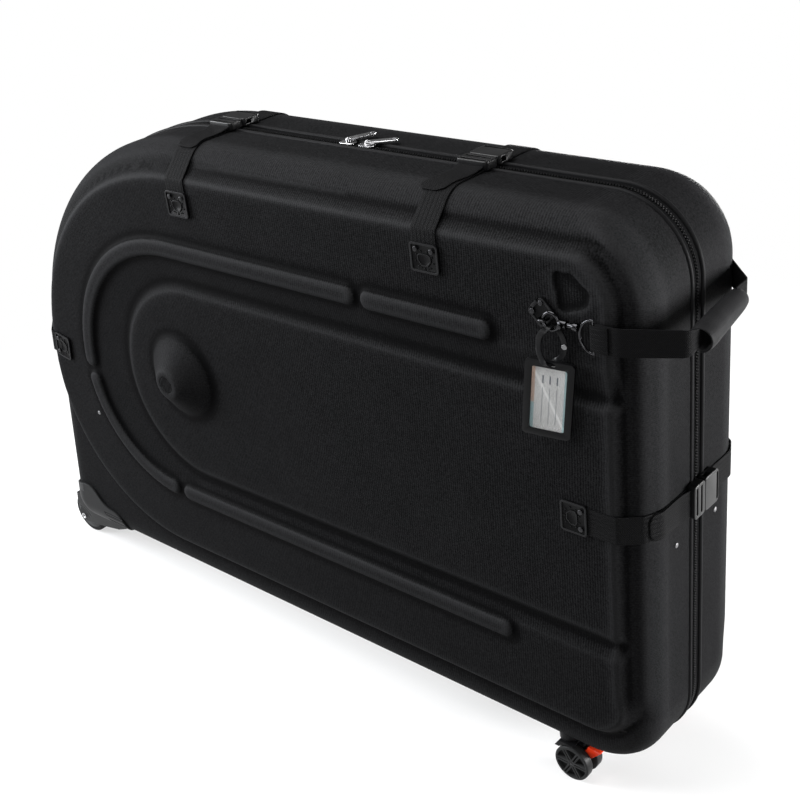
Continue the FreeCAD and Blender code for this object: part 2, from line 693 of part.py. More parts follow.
def bar_slot(y):
    half = STRAP_WIDTH / 2 + PLATE_STRAP_PLAY
    return box(-half, half, y, y + BAR_SLOT_LENGTH, 0, 2 * BUCKLE_HEIGHT)


CAVITY_FLOOR = BUCKLE_FLOOR + BUCKLE_WALL
CAVITY_TOP = BUCKLE_FLOOR + BUCKLE_HEIGHT - BUCKLE_WALL


def buckle_female():
    """Socket half: hollow for the prongs, open at the mouth and both sides, with a bar for the webbing."""
    body = buckle_block(BUCKLE_LENGTH)
    cavity = box(-CAVITY_WIDTH / 2, CAVITY_WIDTH / 2, -1, CAVITY_DEPTH, CAVITY_FLOOR, CAVITY_TOP)
    windows = box(-BUCKLE_WIDTH, BUCKLE_WIDTH, PRONG_LENGTH / 3, PRONG_LENGTH + BUCKLE_PLAY,
                  CAVITY_FLOOR, CAVITY_TOP)
    return body.cut(cavity).cut(windows).cut(bar_slot(CAVITY_DEPTH + BUCKLE_WALL))


def buckle_male():
    """Prong half: a base with two bar slots, two sprung prongs with release pads and a centre guide."""
    base = buckle_block(MALE_BASE_LENGTH).translated(V(0, -MALE_BASE_LENGTH - BUCKLE_PLAY, 0))
    for share in BAR_SLOT_SHARES:
        base = base.cut(bar_slot(-MALE_BASE_LENGTH * (1 - share) - BUCKLE_PLAY))
    low = CAVITY_FLOOR + BUCKLE_PLAY
    high = CAVITY_TOP - BUCKLE_PLAY
    outer = CAVITY_WIDTH / 2 - BUCKLE_PLAY
    arms = []
    for side in (-1, 1):
        x = side * (outer - PRONG_WIDTH)
        arms.append(box(x - PRONG_WIDTH / 2, x + PRONG_WIDTH / 2, -BUCKLE_WALL, PRONG_LENGTH, low, high))
        pad = side * (outer - PRONG_WIDTH / 2)
        arms.append(box(pad - PRONG_WIDTH / 2, pad + PRONG_WIDTH / 2, PRONG_LENGTH / 2, PRONG_LENGTH,
                        low, high))
    arms.append(box(-PRONG_WIDTH / 2, PRONG_WIDTH / 2, -BUCKLE_WALL, PRONG_LENGTH * GUIDE_SHARE, low, high))
    return base.fuse(arms).removeSplitter()


# Rivets

def rivet(point, direction):
    """Round head standing on a surface."""
    head = Part.makeCylinder(RIVET_RADIUS, RIVET_HEIGHT, V(0, 0, 0), V(0, 0, 1))
    head = head.makeFillet(RIVET_HEIGHT * 0.6, edges_on(head, "z", RIVET_HEIGHT))
    head.Placement = FreeCAD.Placement(point, FreeCAD.Rotation(V(0, 0, 1), direction))
    return head


def plate_rivets(name, place):
    """Two through one anchor plate, beside the mouth of its slot."""
    z = PLATE_LENGTH / 4 - PLATE_INSETS[name]
    spots = [V(side * RIVET_SPACING / 2, -PLATE_FACE, z) for side in (-1, 1)]
    return [set_at(rivet(spot, V(0, -1, 0)), place) for spot in spots]


def shell_rivets():
    """Two through each strap's anchor plate, one on the right end and one on the face."""
    heads = [head for name, place in PLACES.items() for head in plate_rivets(name, place)]
    heads.append(rivet(V(RIGHT_END, -END_RIVET_Y, END_RIVET_Z), V(1, 0, 0)))
    heads.append(rivet(V(FACE_RIVET_X, -FACE, FACE_RIVET_Z), V(0, -1, 0)))
    return heads


def handle_plate_rivets():
    """Two through the turned plate, at its free corners."""
    reach = HANDLE_PLATE_SIDE * 0.42
    return [rivet(V(HANDLE_PLATE_X + dx * reach, -PLATE_FACE, HANDLE_PLATE_Z + dz * reach), V(0, -1, 0))
            for dx, dz in ((-1, 0), (0, 1))]


# Handle

HOOK_Y = -(PLATE_FACE + STAPLE_LEG + HOOK_WIRE)
STAPLE_X = HANDLE_PLATE_X + STAPLE_SHIFT
HOOK_Z = HANDLE_Z + STAPLE_RISE
HOOK_X = STAPLE_X + STAPLE_RADIUS - STAPLE_WIRE - HOOK_WIRE - STRAP_SEAT + HOOK_RADIUS
SHANK_START = HOOK_X + HOOK_RADIUS
RING_X = SHANK_START + HOOK_SHANK_LENGTH


def handle_plate():
    """Square plate turned on its corner, which carries the staple."""
    plate = plate_xz(HANDLE_PLATE_SIDE, HANDLE_PLATE_SIDE, PLATE_CORNER, -PLATE_FACE, -FACE)
    return plate.rotated(V(0, 0, 0), V(0, 1, 0), 45).translated(V(HANDLE_PLATE_X, 0, HANDLE_PLATE_Z))


def staple():
    """Round wire arch standing on the turned plate, its legs along the case, for the hook to clip to."""
    feet = [V(STAPLE_X + s * STAPLE_RADIUS, -PLATE_FACE, HOOK_Z) for s in (-1, 1)]
    legs = [rod(foot, V(foot.x, HOOK_Y, HOOK_Z), STAPLE_WIRE) for foot in feet]
    centre = V(STAPLE_X, HOOK_Y, HOOK_Z)
    bow = Part.makeTorus(STAPLE_RADIUS, STAPLE_WIRE, centre, V(0, 0, 1))
    reach = 2 * STAPLE_RADIUS
    front = box(centre.x - reach, centre.x + reach, HOOK_Y - reach, HOOK_Y, HOOK_Z - reach, HOOK_Z + reach)
    return legs[0].fuse([legs[1], bow.common(front)])


def snap_hook():
    """Snap hook: a bow round the staple, a shank for the bolt and a collar that swivels on the ring."""
    bow = Part.makeTorus(HOOK_RADIUS, HOOK_WIRE, V(HOOK_X, HOOK_Y, HOOK_Z), V(0, 1, 0))
    start = V(SHANK_START, HOOK_Y, HOOK_Z)
    collar = V(RING_X - HOOK_COLLAR_LENGTH, HOOK_Y, HOOK_Z)
    end = V(RING_X, HOOK_Y, HOOK_Z)
    return bow.fuse([rod(start, collar, HOOK_SHANK_RADIUS), rod(collar, end, BOLT_RADIUS)])


def snap_bolt():
    """Sleeve with a thumb stud that slides on the hook's shank."""
    start = V(SHANK_START + HOOK_WIRE, HOOK_Y, HOOK_Z)
    end = start + V(BOLT_LENGTH, 0, 0)
    sleeve = rod(start, end, BOLT_RADIUS)
    middle = start + V(BOLT_LENGTH / 2, 0, 0)
    stud = rod(middle, middle - V(0, 2 * BOLT_RADIUS, 0), BOLT_RADIUS / 2)
    return sleeve.fuse(stud).cut(rod(start - V(1, 0, 0), end + V(1, 0, 0), HOOK_SHANK_RADIUS + AXLE_PLAY))


def handle_ring():
    """Rectangular ring between the hook's collar and the webbing."""
    outer = plate_xz(RING_LENGTH, RING_HEIGHT, PLATE_CORNER, -RING_BAR / 2, RING_BAR / 2)
    hole = plate_xz(RING_LENGTH - 2 * RING_BAR, RING_HEIGHT - 2 * RING_BAR, PLATE_CORNER - RING_BAR,
                    -RING_BAR, RING_BAR)
    return outer.cut(hole).translated(V(RING_X + RING_LENGTH / 2, HOOK_Y, HANDLE_Z))


def handle_band(points, radii):
    """Handle webbing lying on edge; points are (y, distance out from the shell's middle)."""
    band = ribbon(points, radii, STRAP_THICKNESS, HANDLE_STRAP_WIDTH)
    return band.rotated(V(0, 0, 0), V(0, 1, 0), 90).translated(V(0, 0, HANDLE_Z))


def handle_strap_front():
    """From the ring, over the plateau's crest and out to the mouth of the grip."""
    ring_end = RING_X + RING_LENGTH
    return handle_band([(HOOK_Y, ring_end), (HOOK_Y, PLATEAU_RIGHT + PLATEAU_SLOPE),
                        (GRIP_FRONT - HANDLE_BEND, GRIP_FRONT_X),
                        (GRIP_FRONT - GRIP_MOUTH_GAP, GRIP_FRONT_X)], [HANDLE_BEND, HANDLE_BEND / 2])


def handle_strap_back():
    """From the back of the grip, round the back rim and under the back anchor plate."""
    lift = FACE + STRAP_LIFT
    start = RIGHT_END - PLATE_INSETS["right"] - PLATE_LENGTH / 4
    return handle_band([(lift, start), (lift, PLATEAU_RIGHT + CREST_SHIFT),
                        (GRIP_BACK + HANDLE_BEND, GRIP_BACK_X),
                        (GRIP_BACK + GRIP_MOUTH_GAP, GRIP_BACK_X)], [CREST_BEND, HANDLE_BEND / 2])


def handle_grip():
    """Padded wrap rolled round the two ends of the webbing, a little lower and further out in front."""
    start = V(GRIP_FRONT_X, GRIP_FRONT, HANDLE_Z - GRIP_FRONT_DROP)
    roll = rod(start, V(GRIP_BACK_X, GRIP_BACK, HANDLE_Z), GRIP_RADIUS)
    rims = [e for e in roll.Edges if isinstance(e.Curve, Part.Circle)]
    return roll.makeFillet(GRIP_RADIUS / 4, rims)


# Luggage tag, drawn with its hanging point at the origin and the tag below

TAG_PIVOT = V(HOOK_X, HOOK_Y, HOOK_Z - HOOK_RADIUS + HOOK_WIRE + LOOP_CORD + LOOP_PLAY)
TAG_SLOT_Z = -LOOP_HEIGHT + LOOP_CORD + LOOP_PLAY - TAG_SLOT_HEIGHT / 2
TAG_TOP = TAG_SLOT_Z + TAG_BORDER / 2


def hang(shape):
    return shape.rotated(V(0, 0, 0), V(0, 1, 0), LOOP_LEAN).translated(TAG_PIVOT)


def face_out(shape):
    """Turns the tag on its cord, its right edge towards the case and its foot to the left."""
    turned = shape.rotated(V(0, 0, 0), V(0, 0, 1), TAG_TURN).translated(V(0, -TAG_FORWARD, 0))
    return hang(turned.rotated(V(0, 0, TAG_SLOT_Z), V(0, 1, 0), TAG_LEAN))


def tag_loop():
    """Cord loop: down from the hook's bow in front, through the tag's slot and up again behind."""
    front = -LOOP_FRONT
    back = LOOP_BEHIND
    side = LOOP_HALF_WIDTH
    slot_front = front - TAG_FORWARD
    slot_back = back - TAG_FORWARD
    points = [V(0, 0, 0), V(0, front * 0.8, 0), V(-side * 0.7, front, -LOOP_HEIGHT * 0.18),
              V(-side, front, -LOOP_HEIGHT * 0.5), V(-side * 0.6, slot_front, -LOOP_HEIGHT * 0.82),
              V(0, slot_front, -LOOP_HEIGHT), V(0, -TAG_FORWARD, -LOOP_HEIGHT), V(0, slot_back, -LOOP_HEIGHT),
              V(side * 0.6, back, -LOOP_HEIGHT * 0.86), V(side, back, -LOOP_HEIGHT * 0.5),
              V(side * 0.7, back, -LOOP_HEIGHT * 0.18), V(0, back * 0.9, 0)]
    curve = Part.BSplineCurve()
    curve.interpolate(Points=points, PeriodicFlag=True)
    stops = [curve.FirstParameter, curve.parameter(points[len(points) // 2]), curve.LastParameter]
    halves = []
    for start, end in zip(stops, stops[1:]):
        ring = Part.Circle(curve.value(start), curve.tangent(start)[0], LOOP_CORD).toShape()
        path = Part.Wire(curve.toShape(start, end))
        halves.append(path.makePipeShell([Part.Wire(ring)], True, False))
    return hang(halves[0].fuse(halves[1]))


def tag_slab(width, height, corner, y0, y1):
    return plate_xz(width, height, corner, y0, y1).translated(V(0, 0, TAG_TOP - TAG_HEIGHT / 2))


TAG_Y = -TAG_THICKNESS / 2
TAG_VIEW_W = TAG_WIDTH - 2 * TAG_BORDER
TAG_VIEW_H = TAG_HEIGHT - 2 * TAG_BORDER
POCKET_BACK = (CARD_THICKNESS + WINDOW_THICKNESS) / 2
POCKET_FRONT = -POCKET_BACK


def pocket_slab(y0, y1):
    return tag_slab(TAG_VIEW_W + 2 * POCKET_MARGIN, TAG_VIEW_H + 2 * POCKET_MARGIN, TAG_CORNER / 2, y0, y1)


def tag_frame():
    """Frame with a viewing window in front and a pocket for the card behind it."""
    body = tag_slab(TAG_WIDTH, TAG_HEIGHT, TAG_CORNER, TAG_Y, -TAG_Y)
    view = tag_slab(TAG_VIEW_W, TAG_VIEW_H, TAG_CORNER / 2, TAG_Y, 0)
    pocket = pocket_slab(POCKET_FRONT, POCKET_BACK)
    slot = plate_xz(TAG_SLOT_WIDTH, TAG_SLOT_HEIGHT, TAG_SLOT_HEIGHT * 0.45, TAG_Y, -TAG_Y)
    return face_out(body.cut(view).cut(pocket).cut(slot.translated(V(0, 0, TAG_SLOT_Z))))


def tag_window():
    return face_out(pocket_slab(POCKET_FRONT, POCKET_FRONT + WINDOW_THICKNESS))


def tag_card():
    return face_out(pocket_slab(POCKET_FRONT + WINDOW_THICKNESS, POCKET_BACK))


# Corner wheel

CORNER_CAP_Y = -(CORNER_WHEEL_Y + CORNER_WHEEL_WIDTH / 2 + CHEEK_GAP)
CORNER_OUTER_Y = CORNER_CAP_Y - CAP_THICKNESS
CORNER_CHEEK_Y = -(CORNER_WHEEL_Y - CORNER_WHEEL_WIDTH / 2 - CHEEK_GAP)
CORNER_INNER_Y = CORNER_CHEEK_Y + CHEEK_THICKNESS


def corner_ring(outer, inner):
    start = V(CORNER_WHEEL_X, -CORNER_WHEEL_Y - CORNER_WHEEL_WIDTH / 2, CORNER_AXLE_Z)
    end = start + V(0, CORNER_WHEEL_WIDTH, 0)
    ring = rod(start, end, outer)
    return ring.cut(rod(start - V(0, 1, 0), end + V(0, 1, 0), inner))


def corner_tyre():
    tyre = corner_ring(CORNER_WHEEL_RADIUS, CORNER_WHEEL_RADIUS - TYRE_THICKNESS)
    rims = [e for e in tyre.Edges if isinstance(e.Curve, Part.Circle)]
    shoulders = [e for e in rims if e.Curve.Radius > CORNER_WHEEL_RADIUS - 1]
    return tyre.makeFillet(TYRE_THICKNESS * 0.6, shoulders)


def corner_core():
    return corner_ring(CORNER_WHEEL_RADIUS - TYRE_THICKNESS, CORNER_AXLE_RADIUS + AXLE_PLAY)


def corner_axle():
    """Bolt through both cheeks of the housing, with its head in front."""
    seat = corner_spot((0, 0), CORNER_OUTER_Y)
    head = seat - V(0, AXLE_HEAD_LENGTH, 0)
    end = corner_spot((0, 0), CORNER_INNER_Y)
    return rod(head, seat, AXLE_HEAD_RADIUS).fuse(rod(seat, end, CORNER_AXLE_RADIUS))


def corner_spot(offset, y):
    """Point given by its offsets along X and Z from the corner wheel's axle."""
    return V(CORNER_WHEEL_X + offset[0], y, CORNER_AXLE_Z + offset[1])


def cover_edge(y):
    curve = Part.BSplineCurve()
    curve.interpolate([corner_spot(offset, y) for offset in COVER_EDGE])
    return curve.toShape()


def cover_region(y):
    """Everything to the lower left of the cover's S-shaped edge."""
    left = CORNER_WHEEL_X - 2 * CORNER_WHEEL_RADIUS
    start = corner_spot(COVER_EDGE[0], y)
    end = corner_spot(COVER_EDGE[-1], y)
    corners = [end, V(end.x, y, WHEEL_FLOOR), V(left, y, WHEEL_FLOOR), V(left, y, start.z), start]
    return Part.Wire([cover_edge(y)] + [line(a, b) for a, b in zip(corners, corners[1:])])


def cheek(y0, y1):
    """Arm of the cover round the axle, from its tip on the left to its foot under the case."""
    tip = corner_spot(COVER_TIP, y0)
    feet = [corner_spot(offset, y0) for offset in COVER_FOOT]
    inside = corner_spot((COVER_FOOT[-1][0], COVER_TIP[1]), y0)
    first = V(COVER_FOOT[0][0], 0, COVER_FOOT[0][1])
    last = V(COVER_TIP[0], 0, COVER_TIP[1])
    low = math.atan2(first.z, first.x) - math.acos(CAP_RADIUS / first.Length)
    high = math.atan2(last.z, last.x) + math.acos(CAP_RADIUS / last.Length)
    nose = arc_xz(CORNER_WHEEL_X, CORNER_AXLE_Z, CAP_RADIUS, math.degrees(high), 360 + math.degrees(low), y0)
    run = [nose.lastVertex(True).Point] + feet + [inside, tip, nose.firstVertex(True).Point]
    return prism(Part.Wire([nose] + [line(a, b) for a, b in zip(run, run[1:])]), y1 - y0)


def cap():
    """The cover's front, sloping back from the face of the case to the axle, with a stepped dish there."""
    reach = 2 * SHELL_DEPTH
    front = box(-reach, reach, -reach, 0, -reach, reach).rotated(V(0, 0, 0), V(1, 0, 0), CAP_SLOPE)
    block = cheek(-reach, CORNER_CAP_Y).cut(front.translated(corner_spot((0, 0), CORNER_OUTER_Y)))
    for i, radius in enumerate(CAP_RINGS):
        floor = CORNER_OUTER_Y - CAP_RING_STEP * (len(CAP_RINGS) - 1 - i)
        block = block.cut(rod(corner_spot((0, 0), -reach), corner_spot((0, 0), floor), radius))
    return block


def corner_housing():
    """Moulded cover over the case's corner: a cap in front of the wheel and a cheek behind hold its axle."""
    region = prism(cover_region(-COVER_INNER_Y), COVER_INNER_Y - 2 * SHELL_DEPTH)
    skin = rim_block(COVER_THICKNESS).common(region)
    arms = [cap().common(region), cheek(CORNER_CHEEK_Y, CORNER_INNER_Y).common(region)]
    hole = rod(corner_spot((0, 0), -2 * SHELL_DEPTH), corner_spot((0, 0), 0), CORNER_AXLE_RADIUS)
    return skin.fuse(arms).cut(rim_block(0)).cut(hole)


# Castor, drawn with its swivel axis through the origin and z = 0 at the bottom of the shell

def to_castor(shape):
    return shape.translated(V(CASTOR_X, -CASTOR_Y, 0))


def castor_mount():
    """Round turret seated on the curved bottom edge of the shell, bored for the stem."""
    turret = rod(V(0, 0, -CASTOR_MOUNT_DROP), V(0, 0, RIM_RADIUS), CASTOR_MOUNT_RADIUS)
    turret = turret.makeFillet(CASTOR_MOUNT_DROP / 2, edges_on(turret, "z", -CASTOR_MOUNT_DROP))
    top = V(0, 0, CASTOR_STEM_LENGTH - CASTOR_MOUNT_DROP)
    bore = rod(V(0, 0, -2 * CASTOR_MOUNT_DROP), top, CASTOR_STEM_RADIUS + AXLE_PLAY)
    return to_castor(turret.cut(bore)).cut(rim_block(0))


CASTOR_HUB = V(CASTOR_TRAIL, 0, CASTOR_AXLE_Z)
HOOD_TOP = -CASTOR_MOUNT_DROP - SWIVEL_GAP
FORK_WIDTH = CASTOR_WHEEL_SPACING - CASTOR_WHEEL_WIDTH - 2 * FORK_GAP
CASTOR_HALF = (CASTOR_WHEEL_SPACING + CASTOR_WHEEL_WIDTH) / 2
HOOD_HALF = CASTOR_HALF - HOOD_INSET


LEVER_PIVOT = V(CASTOR_TRAIL + LEVER_PIVOT_X, 0, CASTOR_AXLE_Z + LEVER_PIVOT_Z)
LEVER_HUB = LEVER_PIN_RADIUS + LEVER_HUB_WALL


def castor_fork():
    """Body between the wheels with a stem on top, a hood over the wheels and a tongue for the brake's pin."""
    half = FORK_WIDTH / 2
    left = CASTOR_TRAIL - HOOD_LEFT
    right = CASTOR_TRAIL + HOOD_RIGHT
    under = HOOD_TOP - HOOD_THICKNESS
    lip = HOOD_TOP - HOOD_LIP_DROP
    section = [V(left - HOOD_LIP, 0, lip), V(left, 0, HOOD_TOP), V(right, 0, HOOD_TOP), V(right, 0, lip)]
    hood = prism(Part.makePolygon(section + section[:1]), 2 * HOOD_HALF).translated(V(0, -HOOD_HALF, 0))
    side = V(0, CASTOR_HALF, 0)
    hood = hood.cut(rod(CASTOR_HUB - side, CASTOR_HUB + side, CASTOR_WHEEL_RADIUS + HOOD_GAP))
    low = CASTOR_AXLE_Z - HUB_RADIUS - FORK_FOOT
    body = [V(left, 0, under), V(LEVER_PIVOT.x - LEVER_HUB - LEVER_GAP, 0, under),
            V(CASTOR_TRAIL + HUB_RADIUS, 0, low), V(CASTOR_TRAIL - HUB_RADIUS, 0, low)]
    web = prism(Part.makePolygon(body + body[:1]), FORK_WIDTH).translated(V(0, -half, 0))
    stem_top = CASTOR_STEM_LENGTH - CASTOR_MOUNT_DROP - SWIVEL_GAP / 2
    stem = rod(V(0, 0, under), V(0, 0, stem_top), CASTOR_STEM_RADIUS)
    tongue = rod(LEVER_PIVOT - V(0, TONGUE_WIDTH / 2, 0), LEVER_PIVOT + V(0, TONGUE_WIDTH / 2, 0), LEVER_HUB)
    tongue = tongue.fuse(box(CASTOR_TRAIL, LEVER_PIVOT.x, -TONGUE_WIDTH / 2, TONGUE_WIDTH / 2,
                             LEVER_PIVOT.z - LEVER_HUB, LEVER_PIVOT.z + LEVER_HUB))
    pin_hole = rod(LEVER_PIVOT - side, LEVER_PIVOT + side, LEVER_PIN_RADIUS + AXLE_PLAY)
    axle_hole = rod(CASTOR_HUB - side, CASTOR_HUB + side, CASTOR_AXLE_RADIUS)
    return to_castor(web.fuse([hood, stem, tongue]).cut(axle_hole).cut(pin_hole).removeSplitter())


def castor_axle():
    side = V(0, CASTOR_HALF, 0)
    return to_castor(rod(CASTOR_HUB - side, CASTOR_HUB + side, CASTOR_AXLE_RADIUS))


def castor_wheel(side):
    """Spoked wheel: tyre, rim and hub round six double spokes on a thin web; side is -1 outside, 1 inside."""
    half = CASTOR_WHEEL_WIDTH / 2
    out = V(0, side, 0)
    start = V(0, -side * half, 0)
    wheel = rod(start, start + out * CASTOR_WHEEL_WIDTH, CASTOR_WHEEL_RADIUS)
    wheel = wheel.makeFillet(CASTOR_WHEEL_EDGE, wheel.Edges[:1] + wheel.Edges[2:])
    face = side * half
    pockets = []
    step = 360 / SPOKE_COUNT
    pitch = SPOKE_SLOT / 2 + SPOKE_WIDTH
    for i in range(SPOKE_COUNT):
        slot = box(HUB_RADIUS, RIM_INNER_RADIUS, -SPOKE_DEPTH, SPOKE_DEPTH, -SPOKE_SLOT / 2, SPOKE_SLOT / 2)
        pockets.append(slot.rotated(V(0, 0, 0), V(0, 1, 0), i * step))
        spread = math.radians(step / 2)
        apex = pitch / math.sin(spread)
        reach = RIM_INNER_RADIUS * math.cos(math.asin(pitch / RIM_INNER_RADIUS))
        turn = math.radians(step)
        a = V(apex * math.cos(spread), -SPOKE_DEPTH, apex * math.sin(spread))
        b = V(reach, -SPOKE_DEPTH, pitch)
        c = V(RIM_INNER_RADIUS * math.cos(spread), -SPOKE_DEPTH, RIM_INNER_RADIUS * math.sin(spread))
        d = V(reach * math.cos(turn) + pitch * math.sin(turn), -SPOKE_DEPTH,
              reach * math.sin(turn) - pitch * math.cos(turn))
        rim = Part.Arc(b, c, d).toShape()
        pocket = prism(Part.Wire([line(a, b), rim, line(d, a)]), 2 * SPOKE_DEPTH)
        pockets.append(pocket.rotated(V(0, 0, 0), V(0, 1, 0), -i * step))
    for pocket in pockets:
        wheel = wheel.cut(pocket.translated(V(0, face, 0)))
    bore = rod(V(0, -2 * half, 0), V(0, 2 * half, 0), CASTOR_AXLE_RADIUS + AXLE_PLAY)
    centre = CASTOR_HUB + V(0, side * CASTOR_WHEEL_SPACING / 2, 0)
    return to_castor(wheel.cut(bore).translated(centre))


def brake_lever():
    """Wedge-shaped pedal between the wheels: two cheeks on a pin through the fork's tongue, and a tread."""
    half = FORK_WIDTH / 2
    top = HOOD_TOP - LEVER_GAP
    tip = CASTOR_TRAIL + LEVER_REACH
    near = LEVER_PIVOT.x
    points = [V(near, -half, LEVER_PIVOT.z + LEVER_HUB), V(near + LEVER_HUB, -half, top), V(tip, -half, top),
              V(tip, -half, top - LEVER_PIN_RADIUS), V(near + LEVER_HUB, -half, top - LEVER_TAIL),
              V(near, -half, LEVER_PIVOT.z - LEVER_HUB)]
    pedal = prism(Part.makePolygon(points + points[:1]), FORK_WIDTH)
    pedal = pedal.fuse(rod(LEVER_PIVOT - V(0, half, 0), LEVER_PIVOT + V(0, half, 0), LEVER_HUB))
    gap = TONGUE_WIDTH / 2 + LEVER_GAP / 2
    reach = LEVER_HUB + LEVER_GAP
    slot = box(near - reach, near + reach, -gap, gap, LEVER_PIVOT.z - 3 * reach, LEVER_PIVOT.z + 3 * reach)
    pin = rod(LEVER_PIVOT - V(0, half, 0), LEVER_PIVOT + V(0, half, 0), LEVER_PIN_RADIUS)
    return to_castor(pedal.cut(slot).fuse(pin).removeSplitter())


# Inside the back shell

def tie_strap(x):
    y = -(INNER_FACE - STRAP_SEAT)
    return box(x - STRAP_WIDTH / 2, x + STRAP_WIDTH / 2, y, y + STRAP_THICKNESS, TIE_BOTTOM, TIE_TOP)


# Writing the nodes

os.makedirs("parts", exist_ok=True)

LEFT_REACH = CORNER_WHEEL_X - CORNER_WHEEL_RADIUS
RIGHT_REACH = handle_grip().optimalBoundingBox(False).XMax
TO_FRAME = V(-(LEFT_REACH + RIGHT_REACH) / 2, 0, GROUND_CLEARANCE)


def keep(name, *solids):
    """Writes one node, moved to the final frame."""
    shape = solids[0] if len(solids) == 1 else Part.makeCompound(list(solids))
    shape.translated(TO_FRAME).exportStep(os.path.join("parts", name + ".step"))


half_shell = shell()
keep("front_shell", half_shell)
keep("back_shell", to_back(half_shell))

tape = zip_tape()
keep("front_zip_tape", tape)
keep("back_zip_tape", to_back(tape))
keep("hinge_strip", hinge_strip())

for side, x, turn in zip(("left", "right"), SLIDER_X, PULL_TURN):
    keep("zip_slider_" + side, zip_slider(x, turn))
    keep("zip_pull_" + side, zip_pull(x, turn))

webbing = {name: set_at(strap(name), place) for name, place in PLACES.items()}
keep("front_top_straps", webbing["top_left"], webbing["top_right"])
keep("back_top_straps", to_back(webbing["top_left"]), to_back(webbing["top_right"]))
for side in ("left", "right"):
    keep("front_strap_" + side, webbing[side])
    keep("back_strap_" + side, to_back(webbing[side]))
for name, place in PLACES.items():
    keep("buckle_male_" + name, set_at(buckle_male(), place))
    keep("buckle_female_" + name, set_at(buckle_female(), place))

plates = [set_at(anchor_plate(name), place) for name, place in PLACES.items()]
keep("front_anchor_plates", *plates, handle_plate())
back_plate = set_at(anchor_plate("right"), HANDLE_PLACE)
keep("back_anchor_plates", *[to_back(plate) for plate in plates + [back_plate]])
heads = shell_rivets()
keep("front_rivets", *heads, *handle_plate_rivets())
keep("back_rivets", *[to_back(head) for head in heads + plate_rivets("right", HANDLE_PLACE)])

keep("handle_staple", staple())
keep("snap_hook", snap_hook())
keep("snap_bolt", snap_bolt())
keep("handle_ring", handle_ring())
keep("handle_strap_front", handle_strap_front())
keep("handle_strap_back", handle_strap_back())
keep("handle_grip", handle_grip())

keep("tag_loop", tag_loop())
keep("tag_frame", tag_frame())
keep("tag_window", tag_window())
keep("tag_card", tag_card())

corner_pieces = {
    "corner_housing": corner_housing(),
    "corner_tyre": corner_tyre(),
    "corner_core": corner_core(),
    "corner_axle": corner_axle(),
}
castor_pieces = {
    "castor_mount": castor_mount(),
    "castor_fork": castor_fork(),
    "castor_axle": castor_axle(),
    "castor_wheel_outer": castor_wheel(-1),
    "castor_wheel_inner": castor_wheel(1),
    "brake_lever": brake_lever(),
}
for name, piece in list(corner_pieces.items()) + list(castor_pieces.items()):
    keep("front_" + name, piece)
    keep("back_" + name, to_back(piece))

keep("tie_straps", *[to_back(tie_strap(x)) for x in TIE_X])
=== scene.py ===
import json
import math
from collections import namedtuple
from contextlib import contextmanager

import bpy
import numpy as np
from mathutils import Matrix, Vector

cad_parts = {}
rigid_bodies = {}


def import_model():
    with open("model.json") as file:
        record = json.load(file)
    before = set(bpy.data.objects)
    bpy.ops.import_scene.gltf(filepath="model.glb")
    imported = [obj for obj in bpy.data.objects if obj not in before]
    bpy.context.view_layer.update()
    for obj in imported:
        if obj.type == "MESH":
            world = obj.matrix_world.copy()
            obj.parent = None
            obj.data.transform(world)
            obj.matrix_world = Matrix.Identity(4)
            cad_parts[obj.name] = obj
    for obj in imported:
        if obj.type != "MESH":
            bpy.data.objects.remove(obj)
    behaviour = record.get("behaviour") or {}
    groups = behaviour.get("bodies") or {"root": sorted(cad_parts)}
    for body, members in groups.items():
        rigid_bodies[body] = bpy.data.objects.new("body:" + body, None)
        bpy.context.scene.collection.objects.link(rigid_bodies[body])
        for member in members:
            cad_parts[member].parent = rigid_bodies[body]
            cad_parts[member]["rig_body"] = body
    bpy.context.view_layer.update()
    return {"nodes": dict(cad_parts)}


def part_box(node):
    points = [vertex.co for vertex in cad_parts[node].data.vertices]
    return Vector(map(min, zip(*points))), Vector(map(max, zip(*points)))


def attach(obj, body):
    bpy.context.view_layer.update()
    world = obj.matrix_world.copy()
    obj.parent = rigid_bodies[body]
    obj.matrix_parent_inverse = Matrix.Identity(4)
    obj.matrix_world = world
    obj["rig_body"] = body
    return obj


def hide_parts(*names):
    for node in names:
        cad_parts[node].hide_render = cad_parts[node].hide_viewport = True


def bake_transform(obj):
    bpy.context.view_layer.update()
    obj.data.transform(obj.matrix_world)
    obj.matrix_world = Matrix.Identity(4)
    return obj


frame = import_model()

# Covers and linings of the two halves: each is foam board pressed hot into its mould with
# woven nylon laid over it, so every ridge and edge is soft. A thin brushed lining covers
# the inside.
HALVES = (("front", -1, "lid"), ("back", 1, "case"))
WELD = 0.00002
COVER_GRID = 0.00406
COVER_MOUTH = 0.0155
MOUTH_SPARE = 0.012
MOUTH_TRIM = 0.001
CASE_RIGHT, CASE_TOP, CASE_CORNER = 0.65999, 0.885, 0.105
END_FACE_FROM = 0.05
RIM_LIFT, RIM_INSET, RIM_SPREAD = 0.006, 0.0115, 0.0145
VALLEY_DIP, VALLEY_INSET, VALLEY_SPREAD = 0.0062, 0.0345, 0.0125
VALLEY_FOOT = 0.17
VALLEY_RUNOUT = 0.06
DOME_MIDDLE = (-0.20101, 0.497)
DOME_MARK = 0.014
DOME_MARK_WIDE = 0.0016
DOME_DENT, DOME_DENT_EDGE = 0.0008, 0.004
CROWN_MIDDLE = (-0.14801, 0.415)
CROWN_INNER, CROWN_RAMP, CROWN_RUNOUT = 0.385, 0.02, 0.1
TUCK_DEPTH = 0.00012
FINE_CREST, BROAD_CREST = 0.0005, 0.0013
RIB_PITCH, THREAD_PITCH = 0.0039, 0.0027


def pick(piece):
    """Makes one piece the only selected and active one."""
    bpy.ops.object.select_all(action="DESELECT")
    piece.select_set(True)
    bpy.context.view_layer.objects.active = piece


